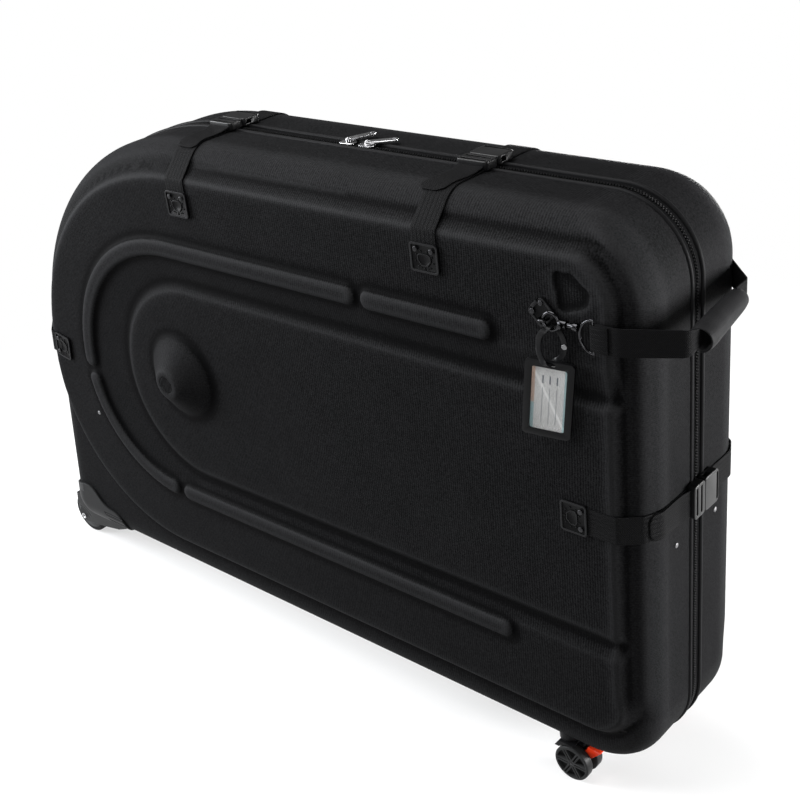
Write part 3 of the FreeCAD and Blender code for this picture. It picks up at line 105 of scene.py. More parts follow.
def put(name, data):
    """A new object in the scene, picked out."""
    piece = bpy.data.objects.new(name, data)
    bpy.context.scene.collection.objects.link(piece)
    pick(piece)
    return piece


@contextmanager
def editing(piece, every=True):
    """Edit mode on one piece, with all of it selected or only what was selected before."""
    pick(piece)
    bpy.ops.object.mode_set(mode="EDIT")
    if every:
        bpy.ops.mesh.select_all(action="SELECT")
    yield
    bpy.ops.object.mode_set(mode="OBJECT")


def extrude(x, y, z):
    """Draws what is selected out by a step."""
    bpy.ops.mesh.extrude_region_move(TRANSFORM_OT_translate={"value": (x, y, z)})


def welded_copy(node, name):
    """A copy of a solid's mesh with its loose triangles joined up."""
    piece = put(name, frame["nodes"][node].data.copy())
    piece.data.materials.clear()
    with editing(piece):
        bpy.ops.mesh.remove_doubles(threshold=WELD)
        bpy.ops.mesh.select_all(action="DESELECT")
    return piece


def apply_modifier(piece, kind, **settings):
    """Adds one modifier with these settings and applies it."""
    pick(piece)
    modifier = piece.modifiers.new(kind.lower(), kind)
    for setting, value in settings.items():
        setattr(modifier, setting, value)
    bpy.ops.object.modifier_apply(modifier=modifier.name)


def shade(piece, crease):
    """Smooth shading, broken at edges sharper than so many degrees."""
    pick(piece)
    bpy.ops.object.shade_smooth_by_angle(angle=math.radians(crease))


def select_faces(piece, wanted):
    """Selects the faces that pass a test, and nothing else, from object mode."""
    for edge in piece.data.edges:
        edge.select = False
    for vertex in piece.data.vertices:
        vertex.select = False
    for face in piece.data.polygons:
        face.select = wanted(face)


def on_mouth(face):
    """Whether a face lies in the flat rim of a half's mouth."""
    return abs(face.normal.y) > 0.99 and abs(abs(face.center.y) - COVER_MOUTH) < 0.0001


def split_skins(node, side, name):
    """The outer and the inner skin of a half; the inner one keeps the flat rim of the mouth."""
    lining = welded_copy(node, name + "_lining")
    select_faces(lining, on_mouth)
    with editing(lining, every=False):
        bpy.ops.mesh.select_mode(type="FACE")
        bpy.ops.mesh.split()
    outmost = max(lining.data.polygons, key=lambda f: side * f.center.y).index
    select_faces(lining, lambda f: f.index == outmost)
    with editing(lining, every=False):
        bpy.ops.mesh.select_linked(delimit=set())
        bpy.ops.mesh.separate(type="SELECTED")
        bpy.ops.mesh.select_all(action="SELECT")
        bpy.ops.mesh.remove_doubles(threshold=WELD)
    cover = [o for o in bpy.context.selected_objects if o is not lining][0]
    cover.name = name + "_cover"
    return cover, lining


def pressed_half(node, side, name):
    """The soft woven cover of one half, and its lining."""
    cover, lining = split_skins(node, side, name)

    # The mouth is drawn out and shut, so that its edge stays crisp while the rest is softened.
    with editing(cover, every=False):
        bpy.ops.mesh.select_mode(type="EDGE")
        bpy.ops.mesh.select_all(action="DESELECT")
        bpy.ops.mesh.select_non_manifold(extend=False)
        extrude(0, -side * MOUTH_SPARE, 0)
        bpy.ops.mesh.edge_face_add()
    cover.data.remesh_voxel_size = COVER_GRID
    cover.data.remesh_voxel_adaptivity = 0
    bpy.ops.object.voxel_remesh()
    press_valley(cover, side)
    apply_modifier(cover, "SMOOTH", factor=0.5, iterations=2)
    soften_crown(cover)
    with editing(cover):
        bpy.ops.mesh.bisect(plane_co=(0, side * (COVER_MOUTH - MOUTH_TRIM), 0), plane_no=(0, -side, 0),
                            clear_outer=True)
    bpy.ops.object.shade_smooth()
    mark_crest_light(cover)
    mark_weave(cover)
    shade(lining, 35)
    return cover, lining


def points_of(piece, what):
    """The places ("co") or the outward ways ("normal") of a piece's points, one row each."""
    rows = np.empty(len(piece.data.vertices) * 3)
    piece.data.vertices.foreach_get(what, rows)
    return rows.reshape(-1, 3)


def press_valley(cover, side):
    """Along the right end the mould dips behind the crest of the face and stands up again at the rim.
    A shallow round dent is pressed into the top of the dome."""
    spots = points_of(cover, "co")
    along = np.maximum(spots[:, 0] - (CASE_RIGHT - CASE_CORNER), 0)
    above = np.maximum(spots[:, 2] - (CASE_TOP - CASE_CORNER), 0)
    inset = CASE_CORNER - np.hypot(along, above)

    def hump(middle, half):
        return 0.5 + 0.5 * np.cos(np.pi * np.clip((inset - middle) / half, -1, 1))

    def eased(values):
        share = np.clip(values, 0, 1)
        return share * share * (3 - 2 * share)

    reach = eased(along / VALLEY_RUNOUT) * eased((spots[:, 2] - VALLEY_FOOT) / VALLEY_RUNOUT)
    reach = reach * (spots[:, 1] * side > END_FACE_FROM)
    rise = RIM_LIFT * hump(RIM_INSET, RIM_SPREAD) - VALLEY_DIP * hump(VALLEY_INSET, VALLEY_SPREAD)
    spots[:, 1] += side * reach * rise
    from_dome = np.hypot(spots[:, 0] - DOME_MIDDLE[0], spots[:, 2] - DOME_MIDDLE[1])
    inside = (DOME_MARK + DOME_DENT_EDGE / 2 - from_dome) / DOME_DENT_EDGE
    spots[:, 1] -= side * DOME_DENT * eased(inside)
    cover.data.vertices.foreach_set("co", spots.ravel())


def slackened(piece, values, rounds):
    """The values on a piece's points after so many rounds of evening out with their neighbours."""
    count = len(piece.data.vertices)
    ends = np.empty(len(piece.data.edges) * 2, dtype=int)
    piece.data.edges.foreach_get("vertices", ends)
    one, other = ends.reshape(-1, 2).T
    near = np.bincount(ends, minlength=count)
    for _ in range(rounds):
        total = np.bincount(one, values[other], count) + np.bincount(other, values[one], count)
        values = 0.4 * values + 0.6 * total / near
    return values


def proud_of(piece, rounds):
    """How far each point stands out of the same cloth after so many rounds of slackening."""
    spots, ways = points_of(piece, "co"), points_of(piece, "normal")
    return sum((spots[:, k] - slackened(piece, spots[:, k], rounds)) * ways[:, k] for k in range(3))


def soften_crown(cover):
    """Evens the cloth out along the foot of the face on the crown, where it tucks in."""
    spots = points_of(cover, "co")
    tucked = slackened(cover, 1.0 * (proud_of(cover, 5) < -TUCK_DEPTH), 10)
    from_middle = np.hypot(spots[:, 0] - CROWN_MIDDLE[0], spots[:, 2] - CROWN_MIDDLE[1])
    on_crown = np.clip((from_middle - CROWN_INNER) / CROWN_RAMP, 0, 1) * (spots[:, 2] > CROWN_MIDDLE[1])
    to_left = np.clip((CROWN_MIDDLE[0] + CROWN_RUNOUT - spots[:, 0]) / CROWN_RUNOUT, 0, 1)
    give = np.clip(4 * tucked, 0, 1) * on_crown * to_left
    for _ in range(30):
        for k in range(3):
            spots[:, k] += give * (slackened(cover, spots[:, k], 1) - spots[:, k])
    cover.data.vertices.foreach_set("co", spots.ravel())
    cover.data.update()


def note(piece, name, values):
    """Writes one number on each point of a piece for its finish to read."""
    piece.data.attributes.new(name, "FLOAT", "POINT").data.foreach_set("value", values)


def mark_crest_light(cover):
    """Notes how far each point stands out over a ridge (above 0) or sinks into a foot (below 0), for the finish
    to paint a highlight on the ridges and shade in the feet.
    """
    crest = 0.5 * proud_of(cover, 5) / FINE_CREST + 0.8 * proud_of(cover, 16) / BROAD_CREST
    note(cover, "crest", np.clip(slackened(cover, crest, 1), -0.8, 1.2))


def mark_weave(piece):
    """Notes where the ribs and the cross threads lie flat to the eye, and not edge-on round a bend."""
    ways = np.abs(points_of(piece, "normal"))
    note(piece, "ribs_show", np.clip(1 - ways[:, 0], 0, 1) ** 4)
    note(piece, "threads_show", np.clip(1 - ways[:, 2], 0, 1) ** 4)


class Pattern:
    """A number that varies over a surface. Each sum on it adds one node to the finish."""

    def __init__(self, socket):
        self.socket = socket

    def reckon(self, how, other=None, other_first=False):
        sheet = self.socket.id_data
        node = sheet.nodes.new("ShaderNodeMath")
        node.operation = how
        for place, side in enumerate((other, self) if other_first else (self, other)):
            if isinstance(side, Pattern):
                sheet.links.new(side.socket, node.inputs[place])
            elif side is not None:
                node.inputs[place].default_value = side
        return Pattern(node.outputs[0])

    def __add__(self, other):
        return self.reckon("ADD", other)

    def __sub__(self, other):
        return self.reckon("SUBTRACT", other)

    def __rsub__(self, other):
        return self.reckon("SUBTRACT", other, other_first=True)

    def __mul__(self, other):
        return self.reckon("MULTIPLY", other)

    def __truediv__(self, other):
        return self.reckon("DIVIDE", other)

    def at_least(self, other):
        return self.reckon("MAXIMUM", other)

    def at_most(self, other):
        return self.reckon("MINIMUM", other)

    def wave(self, pitch):
        return (self * (2 * math.pi / pitch)).reckon("SINE")

    def between(self, low, high):
        return self.reckon("GREATER_THAN", low) * self.reckon("LESS_THAN", high)


class Finish:
    """A finish as it is mixed: even values on its shader, and the patterns that vary them."""

    def __init__(self, name, colour, roughness, **even):
        self.material = bpy.data.materials.new(name)
        self.material.use_nodes = True
        self.sheet = self.material.node_tree
        self.shader = self.sheet.nodes["Principled BSDF"]
        self.base = self.shader.inputs["Base Color"]
        self.base.default_value = (*colour, 1)
        for socket, value in dict(even, Roughness=roughness).items():
            self.shader.inputs[socket.replace("_", " ")].default_value = value
        self.place = self.node("TexCoord").outputs["Object"]

    def node(self, kind, **settings):
        """A node of one kind, with its settings and the even values of its sockets."""
        node = self.sheet.nodes.new("ShaderNode" + kind)
        for setting, value in settings.items():
            if hasattr(node, setting):
                setattr(node, setting, value)
            else:
                node.inputs[setting].default_value = value
        return node

    def noise(self, scale, detail, roughness=0.5):
        """A cloudy pattern from 0 to 1."""
        cloud = self.node("TexNoise", Scale=scale, Detail=detail, Roughness=roughness)
        self.sheet.links.new(self.place, cloud.inputs["Vector"])
        return Pattern(cloud.outputs["Fac"])

    def axes(self, chart=None):
        """The three directions of the piece, or of its own map."""
        split = self.node("SeparateXYZ")
        source = self.node("UVMap", uv_map=chart).outputs["UV"] if chart else self.place
        self.sheet.links.new(source, split.inputs[0])
        return [Pattern(socket) for socket in split.outputs]

    def noted(self, name):
        """What is written on the piece's points under a name."""
        return Pattern(self.node("Attribute", attribute_name=name).outputs["Fac"])

    def tint(self, amount, light, dark=None):
        """Colours the finish by an amount from 0 to 1, up from a dark shade or from its colour so far."""
        shades = self.node("Mix", data_type="RGBA")
        share, lower, upper = (shades.inputs[i] for i in (0, 6, 7))
        self.sheet.links.new(amount.socket, share)
        upper.default_value = (*light, 1)
        if dark:
            lower.default_value = (*dark, 1)
        else:
            self.sheet.links.new(self.base.links[0].from_socket, lower)
        self.sheet.links.new(shades.outputs[2], self.base)

    def relief(self, height, strength, depth):
        """Gives the surface the relief of a height pattern."""
        bump = self.node("Bump", Strength=strength, Distance=depth)
        self.sheet.links.new(height.socket, bump.inputs["Height"])
        self.sheet.links.new(bump.outputs["Normal"], self.shader.inputs["Normal"])

    def dull(self, roughness):
        """Varies the gloss by a pattern."""
        self.sheet.links.new(roughness.socket, self.shader.inputs["Roughness"])


def woven_nylon():
    """Black ballistic nylon: upright ribs crossed by finer threads, a dull sheen and a little dust, with a
    painted highlight along the ridges and painted shade in the feet of the cover.
    """
    finish = Finish("woven_nylon", (0.015, 0.015, 0.0155), 0.6, Specular_IOR_Level=0.015)
    x, _, z = finish.axes()
    rib = (x + finish.noise(16.0, 3.0) * 0.009).wave(RIB_PITCH) * finish.noted("ribs_show")
    thread = z.wave(THREAD_PITCH) * finish.noted("threads_show")
    weave = rib * 0.6 + thread * 0.25
    dust = finish.noise(9.0, 6.0, 0.62)
    fine = finish.noise(430.0, 3.0, 0.7)

    # A faint round mark is pressed into the flat top of each dome.
    from_x, from_z = x - DOME_MIDDLE[0], z - DOME_MIDDLE[1]
    off = ((from_x * from_x + from_z * from_z).reckon("SQRT") - DOME_MARK).reckon("ABSOLUTE")
    mark = 1.0 - (off / DOME_MARK_WIDE).at_most(1.0)

    finish.relief(weave * 0.35 + fine * 0.5 - mark * 2.0, 0.55, 0.0006)
    # Painted light: the crest note makes the ridges lighter as a painted highlight and the feet darker as
    # painted shade, on top of the dust, the weave and the grain.
    dust_weave_and_painted_light = dust * 0.2 + weave * 0.28 + fine * 1.5 + finish.noted("crest") * 0.5
    finish.tint((dust_weave_and_painted_light - 0.57).at_least(0.0), (0.0245, 0.0247, 0.0258), (0.0028, 0.0028, 0.003))
    return finish


def brushed_lining():
    """Thin knitted lining with a raised nap."""
    finish = Finish("brushed_lining", (0.03, 0.03, 0.032), 0.9, Sheen_Weight=0.3)
    nap = finish.noise(420.0, 5.0, 0.7)
    finish.relief(nap, 0.6, 0.0008)
    finish.tint(nap, (0.045, 0.045, 0.047), (0.018, 0.018, 0.019))
    return finish


def dress(piece, finish, body):
    """Gives a piece its finish and puts it on a body."""
    piece.data.materials.append(finish.material)
    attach(piece, body)


def fit(piece, node, finish):
    """Dresses a piece and puts it in a solid's place on the solid's own body."""
    dress(piece, finish, frame["nodes"][node]["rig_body"])
    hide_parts(node)


WOVEN_NYLON = woven_nylon()
BRUSHED_LINING = brushed_lining()
for half, side, body in HALVES:
    cover, lining = pressed_half(half + "_shell", side, half)
    fit(cover, half + "_shell", WOVEN_NYLON)
    dress(lining, BRUSHED_LINING, body)

# Zip round the mouth: a woven tape with a moulded coil is sewn along each half behind a
# round piping. The two tapes stop at the hinge under the case.
FLOOR_TO_CASE = 0.065
CASE_SHIFT = 0.02099
HINGE_FROM, HINGE_TO = -0.48, 0.44
END_X, END_LOW, END_HIGH = 0.534, 0.105, 0.715
CROWN_X, CROWN_Z = -0.169, 0.35
FLARE_X, FLARE_TURN, FLARE_RUN = -1.039, 9.4, 0.2296
TOE_X, TOE_Z = -0.6325, 0.05
PIPING_AT, PIPING_THICK, PIPING_SUNK = 0.0133, 0.0062, 0.0004
TAPE_FROM, TAPE_TO = 0.0118, 0.0028
TAPE_THICK, TAPE_SUNK = 0.0012, 0.0016
TOOTH_PITCH = 0.0042
TOOTH_SIZE = (0.0016, 0.0036, 0.0022)
TOOTH_EASE = 0.0007
COIL_AT, COIL_SUNK, COIL_START = 0.42 * TOOTH_SIZE[1], 0.0006, 0.001


def start_from(primitive, **settings):
    """A new primitive with nothing else selected."""
    bpy.ops.object.select_all(action="DESELECT")
    primitive(**settings)
    return bpy.context.object


def mouth_line(name, y, sunk):
    """A wire along the mouth, from one end of the hinge round the case to the other, sunk below the edge."""
    line = start_from(bpy.ops.mesh.primitive_plane_add, size=0.01)
    line.name = name

    def bend(x, z, turn, steps):
        bpy.ops.mesh.spin(steps=steps, angle=math.radians(turn), axis=(0, 1, 0),
                          center=(CASE_SHIFT + x, y, FLOOR_TO_CASE + z))

    with editing(line):
        bpy.ops.mesh.select_mode(type="VERT")
        bpy.ops.mesh.merge(type="CENTER")
        bpy.ops.transform.translate(value=(CASE_SHIFT + HINGE_TO, y, FLOOR_TO_CASE + sunk))
        extrude(END_X - HINGE_TO, 0, 0)
        bend(END_X, END_LOW, 90, 20)
        extrude(0, 0, END_HIGH - END_LOW)
        bend(END_X, END_HIGH, 90, 20)
        extrude(CROWN_X - END_X, 0, 0)
        bend(CROWN_X, CROWN_Z, 90, 48)
        bend(FLARE_X, CROWN_Z, -FLARE_TURN, 4)
        slant = math.radians(FLARE_TURN)
        extrude(-FLARE_RUN * math.sin(slant), 0, -FLARE_RUN * math.cos(slant))
        bend(TOE_X, TOE_Z, 90 + FLARE_TURN, 16)
        extrude(HINGE_FROM - TOE_X, 0, 0)
    return line


def round_piping(name, y):
    """A round cord sewn along the mouth."""
    mouth_line(name, y, PIPING_SUNK)
    bpy.ops.object.convert(target="CURVE")
    cord = bpy.context.object.data
    cord.bevel_depth = PIPING_THICK / 2
    cord.bevel_resolution = 3
    cord.use_fill_caps = True
    bpy.ops.object.convert(target="MESH")
    shade(bpy.context.object, 40)
    return bpy.context.object


def flat_tape(name, side):
    """A flat band along the mouth, from the piping to the coil."""
    tape = mouth_line(name, side * TAPE_FROM, TAPE_SUNK)
    with editing(tape):
        extrude(0, side * TAPE_TO - side * TAPE_FROM, 0)
        bpy.ops.mesh.select_all(action="SELECT")
        bpy.ops.mesh.normals_make_consistent(inside=False)
    apply_modifier(tape, "SOLIDIFY", thickness=TAPE_THICK, offset=0)
    shade(tape, 40)
    return tape


def spots_along(line, pitch, start):
    """Places every so far along a wire, each with its direction."""
    points = [v.co.copy() for v in line.data.vertices]
    spots, ahead = [], start
    for a, b in zip(points, points[1:]):
        run = (b - a).length
        while ahead <= run:
            spots.append((a.lerp(b, ahead / run), (b - a).normalized()))
            ahead += pitch
        ahead -= run
    return spots


def coil_row(name, side):
    """One row of the coil: a single rounded turn, set again and again along the tape.
    The back row's turns lie between the front row's."""
    line = mouth_line(name + "_line", side * COIL_AT, COIL_SUNK)
    spots = spots_along(line, TOOTH_PITCH, COIL_START if side < 0 else COIL_START + TOOTH_PITCH / 2)
    bpy.data.objects.remove(line)
    tooth = start_from(bpy.ops.mesh.primitive_cube_add, size=1)
    tooth.data.transform(Matrix.Diagonal((*TOOTH_SIZE, 1)))
    apply_modifier(tooth, "BEVEL", width=TOOTH_EASE, segments=1)
    corners = [v.co.copy() for v in tooth.data.vertices]
    sides = [tuple(f.vertices) for f in tooth.data.polygons]
    bpy.data.objects.remove(tooth)
    points, faces = [], []
    across = Vector((0, 1, 0))
    for spot, way in spots:
        turn = Matrix((way, across, way.cross(across))).transposed()
        base = len(points)
        points += [spot + turn @ c for c in corners]
        faces += [tuple(base + i for i in f) for f in sides]
    row = put(name, bpy.data.meshes.new(name))
    row.data.from_pydata(points, [], faces)
    shade(row, 50)
    return row


def bound_piping():
    """Cord bound in black tape, scuffed a little grey in places."""
    finish = Finish("bound_piping", (0.012, 0.012, 0.013), 0.5, Specular_IOR_Level=0.05)
    finish.relief(finish.noise(700.0, 3.0, 0.6), 0.3, 0.0005)
    finish.tint(finish.noise(14.0, 4.0, 0.6), (0.013, 0.013, 0.0137), (0.004, 0.004, 0.0044))
    return finish


def ribbed_tape():
    """Woven zip tape with ribs along its length."""
    finish = Finish("ribbed_tape", (0.01, 0.01, 0.011), 0.75, Specular_IOR_Level=0.02)
    ribs = finish.axes()[1].wave(0.0016)
    cross = finish.noise(600.0, 2.0)
    finish.relief(ribs * 0.4 + cross, 0.5, 0.0004)
    finish.tint(cross, (0.007, 0.007, 0.0074), (0.0025, 0.0025, 0.0028))
    return finish


def coil_nylon():
    """Moulded nylon with a slight haze."""
    finish = Finish("coil_nylon", (0.01, 0.01, 0.0105), 0.4, Specular_IOR_Level=0.08)
    finish.tint(finish.noise(160.0, 3.0), (0.016, 0.016, 0.0165), (0.007, 0.007, 0.0075))
    return finish


BOUND_PIPING = bound_piping()
RIBBED_TAPE = ribbed_tape()
COIL_NYLON = coil_nylon()
for half, side, body in HALVES:
    dress(round_piping(half + "_piping", side * PIPING_AT), BOUND_PIPING, body)
    fit(flat_tape(half + "_tape", side), half + "_zip_tape", RIBBED_TAPE)
    dress(coil_row(half + "_coil", side), COIL_NYLON, body)

# Zip sliders and their pulls: cast zinc with a bright plating. The slider straddles the
# coil and the pull hangs on a lug, laid back over the rear half.


def ease_edges(piece, width, segments, sharp):
    """Rounds every edge sharper than so many degrees."""
    apply_modifier(piece, "BEVEL", width=width, segments=segments, limit_method="ANGLE",
                   angle_limit=math.radians(sharp))


def eased_copy(node, name, ease):
    """A solid's shape with its hard edges eased, as they come out of a mould or a tumbler."""
    piece = welded_copy(node, name)
    with editing(piece):
        bpy.ops.mesh.dissolve_limited(angle_limit=math.radians(2))
    if ease:
        ease_edges(piece, ease, 2, 40)
    shade(piece, 32)
    return piece


def fit_eased(node, name, ease, finish):
    """Puts an eased and dressed copy of a solid in the solid's place."""
    fit(eased_copy(node, name, ease), node, finish)


def worked_metal(name, dark, light, roughness, grain_size):
    """Metal with a fine grain in its gloss and slightly uneven plating."""
    finish = Finish(name, light, roughness, Metallic=1.0)
    cloud = finish.noise(60.0, 5.0, 0.65)
    finish.dull(cloud * 0.16 + (roughness - 0.08))
    finish.relief(finish.noise(1 / grain_size, 2.0), 0.12, 0.0002)
    finish.tint(cloud, light, dark)
    return finish


PLATED_ZINC = worked_metal("plated_zinc", (0.42, 0.42, 0.43), (0.72, 0.72, 0.73), 0.24, 0.0008)
for side in ("left", "right"):
    for part in ("slider_", "pull_"):
        fit_eased("zip_" + part + side, part + side + "_plated", 0.0005, PLATED_ZINC)

# Hinge strip: a doubled strip of the cover's nylon, sewn to both halves under the case.
HINGE_THICK = 0.0017
low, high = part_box("hinge_strip")
middle = [(a + b) / 2 for a, b in zip(low, high)]
length, width = high[0] - low[0], high[1] - low[1]
hinge = start_from(bpy.ops.mesh.primitive_grid_add, x_subdivisions=46, y_subdivisions=24, size=1)
hinge.name = "hinge_fabric"
hinge.data.transform(Matrix.Translation(middle) @ Matrix.Diagonal((length, width, 1, 1)))
apply_modifier(hinge, "SOLIDIFY", thickness=HINGE_THICK, offset=0)
ease_edges(hinge, 0.0005, 2, 50)
shade(hinge, 40)
mark_weave(hinge)
hinge.data.materials.append(WOVEN_NYLON.material)
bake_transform(hinge)
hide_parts("hinge_strip")

# Anchor plates: glossy moulded plates riveted to the face over the ends of the webbing, with
# a raised border, a sunk field with a plain raised shield, and two rivet seats.
PLATE_WIDE, PLATE_THICK, PLATE_LONG = 0.046, 0.0045, 0.040
PLATE_OUT = 0.1335
PLATE_CORNER, PLATE_BORDER, PLATE_SUNK = 0.0055, 0.0032, 0.0014
FIELD_OUT = PLATE_OUT - 0.0016
PAINTED_LIGHT_WITHIN = 0.0003
SHIELD = [(-0.011, -0.004), (-0.011, 0.003), (-0.006, 0.006), (0.006, 0.006),
          (0.011, 0.003), (0.011, -0.004), (0.005, -0.011), (-0.005, -0.011)]
SHIELD_HIGH, SHIELD_RIM, SHIELD_SUNK = 0.0013, 0.0016, 0.0008
STUD_HIGH, STUD_HALF = 0.0009, 0.0013
STUD_RING, STUD_RING_DROP = (0.0145, 0.012), 0.003
BAR_PLACES, BAR_DROP, BAR_HALF = (-0.006, 0.0, 0.006), 0.0135, (0.0012, 0.001)
DIAMOND_SIDE, DIAMOND_RIM, DIAMOND_RISE = 0.03, 0.004, 0.0008
DIAMOND_X, DIAMOND_Z = 0.507, 0.701
HANDLE_PLATE_X, HANDLE_PLATE_Z = 0.54, 0.688
StrapPlace = namedtuple("StrapPlace", "turn x z plate_inset crest_inset")
STRAP_PLACES = {
    "top_left": StrapPlace(0.0, -0.15, 0.82, 0.082, 0.045),
    "top_right": StrapPlace(0.0, 0.33, 0.82, 0.082, 0.045),
    "right": StrapPlace(90.0, 0.639, 0.423, 0.099, 0.037),
    "left": StrapPlace(-81.07, -0.6333, 0.423, 0.078, 0.046),
}


def on_case(x, z, turn, back=False):
    """From a piece drawn at the origin, facing the front, to its place and turn on the case."""
    there = Matrix.Translation((CASE_SHIFT + x, 0, FLOOR_TO_CASE + z))
    there = there @ Matrix.Rotation(math.radians(turn), 4, "Y")
    return there @ Matrix.Rotation(math.pi, 4, "Z") if back else there


def at_place(name, side):
    """From a strap drawn over the top edge at x = 0 to its own place, on the front or the back half."""
    place = STRAP_PLACES[name]
    return on_case(place.x, place.z, place.turn, side > 0)


def round_corners(piece, width, segments):
    """Rounds the edges that run from front to back."""
    points = piece.data.vertices
    select_faces(piece, lambda f: False)
    for edge in piece.data.edges:
        a, b = (points[i].co for i in edge.vertices)
        edge.select = abs(a.x - b.x) < 1e-6 and abs(a.z - b.z) < 1e-6
    with editing(piece, every=False):
        bpy.ops.mesh.select_mode(type="EDGE")
        bpy.ops.mesh.bevel(offset=width, segments=segments, affect="EDGES")


def sink_front(piece, inset, depth):
    """Insets the foremost face and pushes it in (or out, with a negative depth)."""
    foremost = min(piece.data.polygons, key=lambda f: (round(f.center.y, 5), -f.area)).index
    select_faces(piece, lambda f: f.index == foremost)
    with editing(piece, every=False):
        bpy.ops.mesh.select_mode(type="FACE")
        bpy.ops.mesh.inset(thickness=inset, depth=0)
        extrude(0, depth, 0)


def plate_body(width, length):
    """Plain plate with round corners and a raised border, its front at PLATE_OUT."""
    plate = start_from(bpy.ops.mesh.primitive_cube_add, size=1)
    back = -(PLATE_OUT - PLATE_THICK / 2)
    plate.data.transform(Matrix.Translation((0, back, 0)) @ Matrix.Diagonal((width, PLATE_THICK, length, 1)))
    round_corners(plate, PLATE_CORNER, 6)
    sink_front(plate, PLATE_BORDER, PLATE_SUNK)
    return plate


def raised_figure(outline, height):
    """A low raised figure on the sunk field."""
    figure = put("figure", bpy.data.meshes.new("figure"))
    figure.data.from_pydata([(x, -FIELD_OUT, z) for x, z in outline], [], [tuple(range(len(outline)))])
    with editing(figure):
        extrude(0, -height, 0)
        bpy.ops.mesh.select_all(action="SELECT")
        bpy.ops.mesh.normals_make_consistent(inside=False)
    return figure


def block(x, z, half_wide, half_high):
    """The outline of a small rectangle round a point."""
    return [(x + i * half_wide, z + k * half_high) for i, k in ((-1, -1), (1, -1), (1, 1), (-1, 1))]


def joined(pieces, name):
    """Several pieces made one object."""
    pick(pieces[0])
    for piece in pieces[1:]:
        piece.select_set(True)
    bpy.ops.object.join()
    pieces[0].name = name
    return pieces[0]


def ease_plate_and_paint_light(plate):
    """Eases the plate's edges and notes what stands highest, to be coloured lighter there as a painted
    highlight on the border and the shield.
    """
    ease_edges(plate, 0.0006, 2, 40)
    shade(plate, 35)
    note(plate, "painted_relief_light", 1.0 * (points_of(plate, "co")[:, 1] < PAINTED_LIGHT_WITHIN - PLATE_OUT))


def anchor_plate():
    """A plate with its shield, three bars under it and a ring of studs round it."""
    shield = raised_figure(SHIELD, SHIELD_HIGH)
    sink_front(shield, SHIELD_RIM, SHIELD_SUNK)
    studs = [raised_figure(block(x, -BAR_DROP, *BAR_HALF), STUD_HIGH) for x in BAR_PLACES]
    for turn in map(math.radians, range(20, 380, 40)):
        x, z = STUD_RING[0] * math.sin(turn), STUD_RING[1] * math.cos(turn) - STUD_RING_DROP
        studs.append(raised_figure(block(x, z, STUD_HALF, STUD_HALF), STUD_HIGH))
    plate = joined([plate_body(PLATE_WIDE, PLATE_LONG), shield] + studs, "anchor_plate")
    ease_plate_and_paint_light(plate)
    return plate


def diamond_plate():
    """The smaller turned plate of the handle, with a raised middle."""
    plate = plate_body(DIAMOND_SIDE, DIAMOND_SIDE)
    sink_front(plate, DIAMOND_RIM, -DIAMOND_RISE)
    ease_plate_and_paint_light(plate)
    return plate


def glossy_black(name, gloss):
    """Injection moulded black plastic: a fine skin, a few dull scuffs, and a painted highlight where a piece
    notes what stands highest.
    """
    finish = Finish(name, (0.004, 0.004, 0.0044), 0.3, Specular_IOR_Level=gloss)
    scuff = finish.noise(90.0, 6.0, 0.7)
    finish.dull(scuff * 0.22 + 0.2)
    finish.relief(finish.noise(1500.0, 2.0), 0.1, 0.0002)
    # Painted highlight: what a piece notes as standing highest is coloured lighter.
    finish.tint(scuff * 0.3 + finish.noted("painted_relief_light") * 0.7, (0.022, 0.022, 0.023), (0.0016, 0.0016, 0.0018))
    return finish


def placed_copy(master, place):
    """A copy with its own mesh, set where a matrix says."""
    piece = put("copy", master.data.copy())
    piece.data.transform(place)
    return piece


GLOSSY_BLACK = glossy_black("glossy_black", 0.05)
anchor, diamond = anchor_plate(), diamond_plate()
for half, side, body in HALVES:
    plates = [placed_copy(anchor, at_place(name, side) @ Matrix.Translation((0, 0, -place.plate_inset)))
              for name, place in STRAP_PLACES.items()]
    if side < 0:
        plates.append(placed_copy(diamond, on_case(DIAMOND_X, DIAMOND_Z, 45)))
    else:
        plates.append(placed_copy(anchor, on_case(HANDLE_PLATE_X, HANDLE_PLATE_Z, 90, back=True)))
    fit(joined(plates, half + "_plates"), half + "_anchor_plates", GLOSSY_BLACK)
bpy.data.objects.remove(anchor)
bpy.data.objects.remove(diamond)

# Rivets: low domed heads, of blacked steel through the plates and of nickel-plated steel
# through the bare board.
HEAD_RADIUS, HEAD_HEIGHT = 0.0036, 0.0019
RIVET_ASIDE, RIVET_UP = 0.013, 0.011
DIAMOND_RIVET = 0.0126
FACE_OUT = 0.129
END_RIVET = (0.639, 0.05, 0.37)
FACE_RIVET = (-0.495, FACE_OUT, 0.29)


def rivet_head(point, way):
    """A low domed head standing on a surface."""
    head = start_from(bpy.ops.mesh.primitive_cylinder_add, vertices=20, radius=HEAD_RADIUS, depth=HEAD_HEIGHT)
    ease_edges(head, HEAD_HEIGHT * 0.75, 4, 60)
    stand = Vector((0, 0, 1)).rotation_difference(Vector(way)).to_matrix().to_4x4()
    head.data.transform(Matrix.Translation(Vector(point) + Vector(way) * HEAD_HEIGHT * 0.3) @ stand)
    shade(head, 40)
    return head


def shell_rivet(x, y, z, way):
    """A head at a place measured on the case."""
    return rivet_head((CASE_SHIFT + x, y, FLOOR_TO_CASE + z), way)


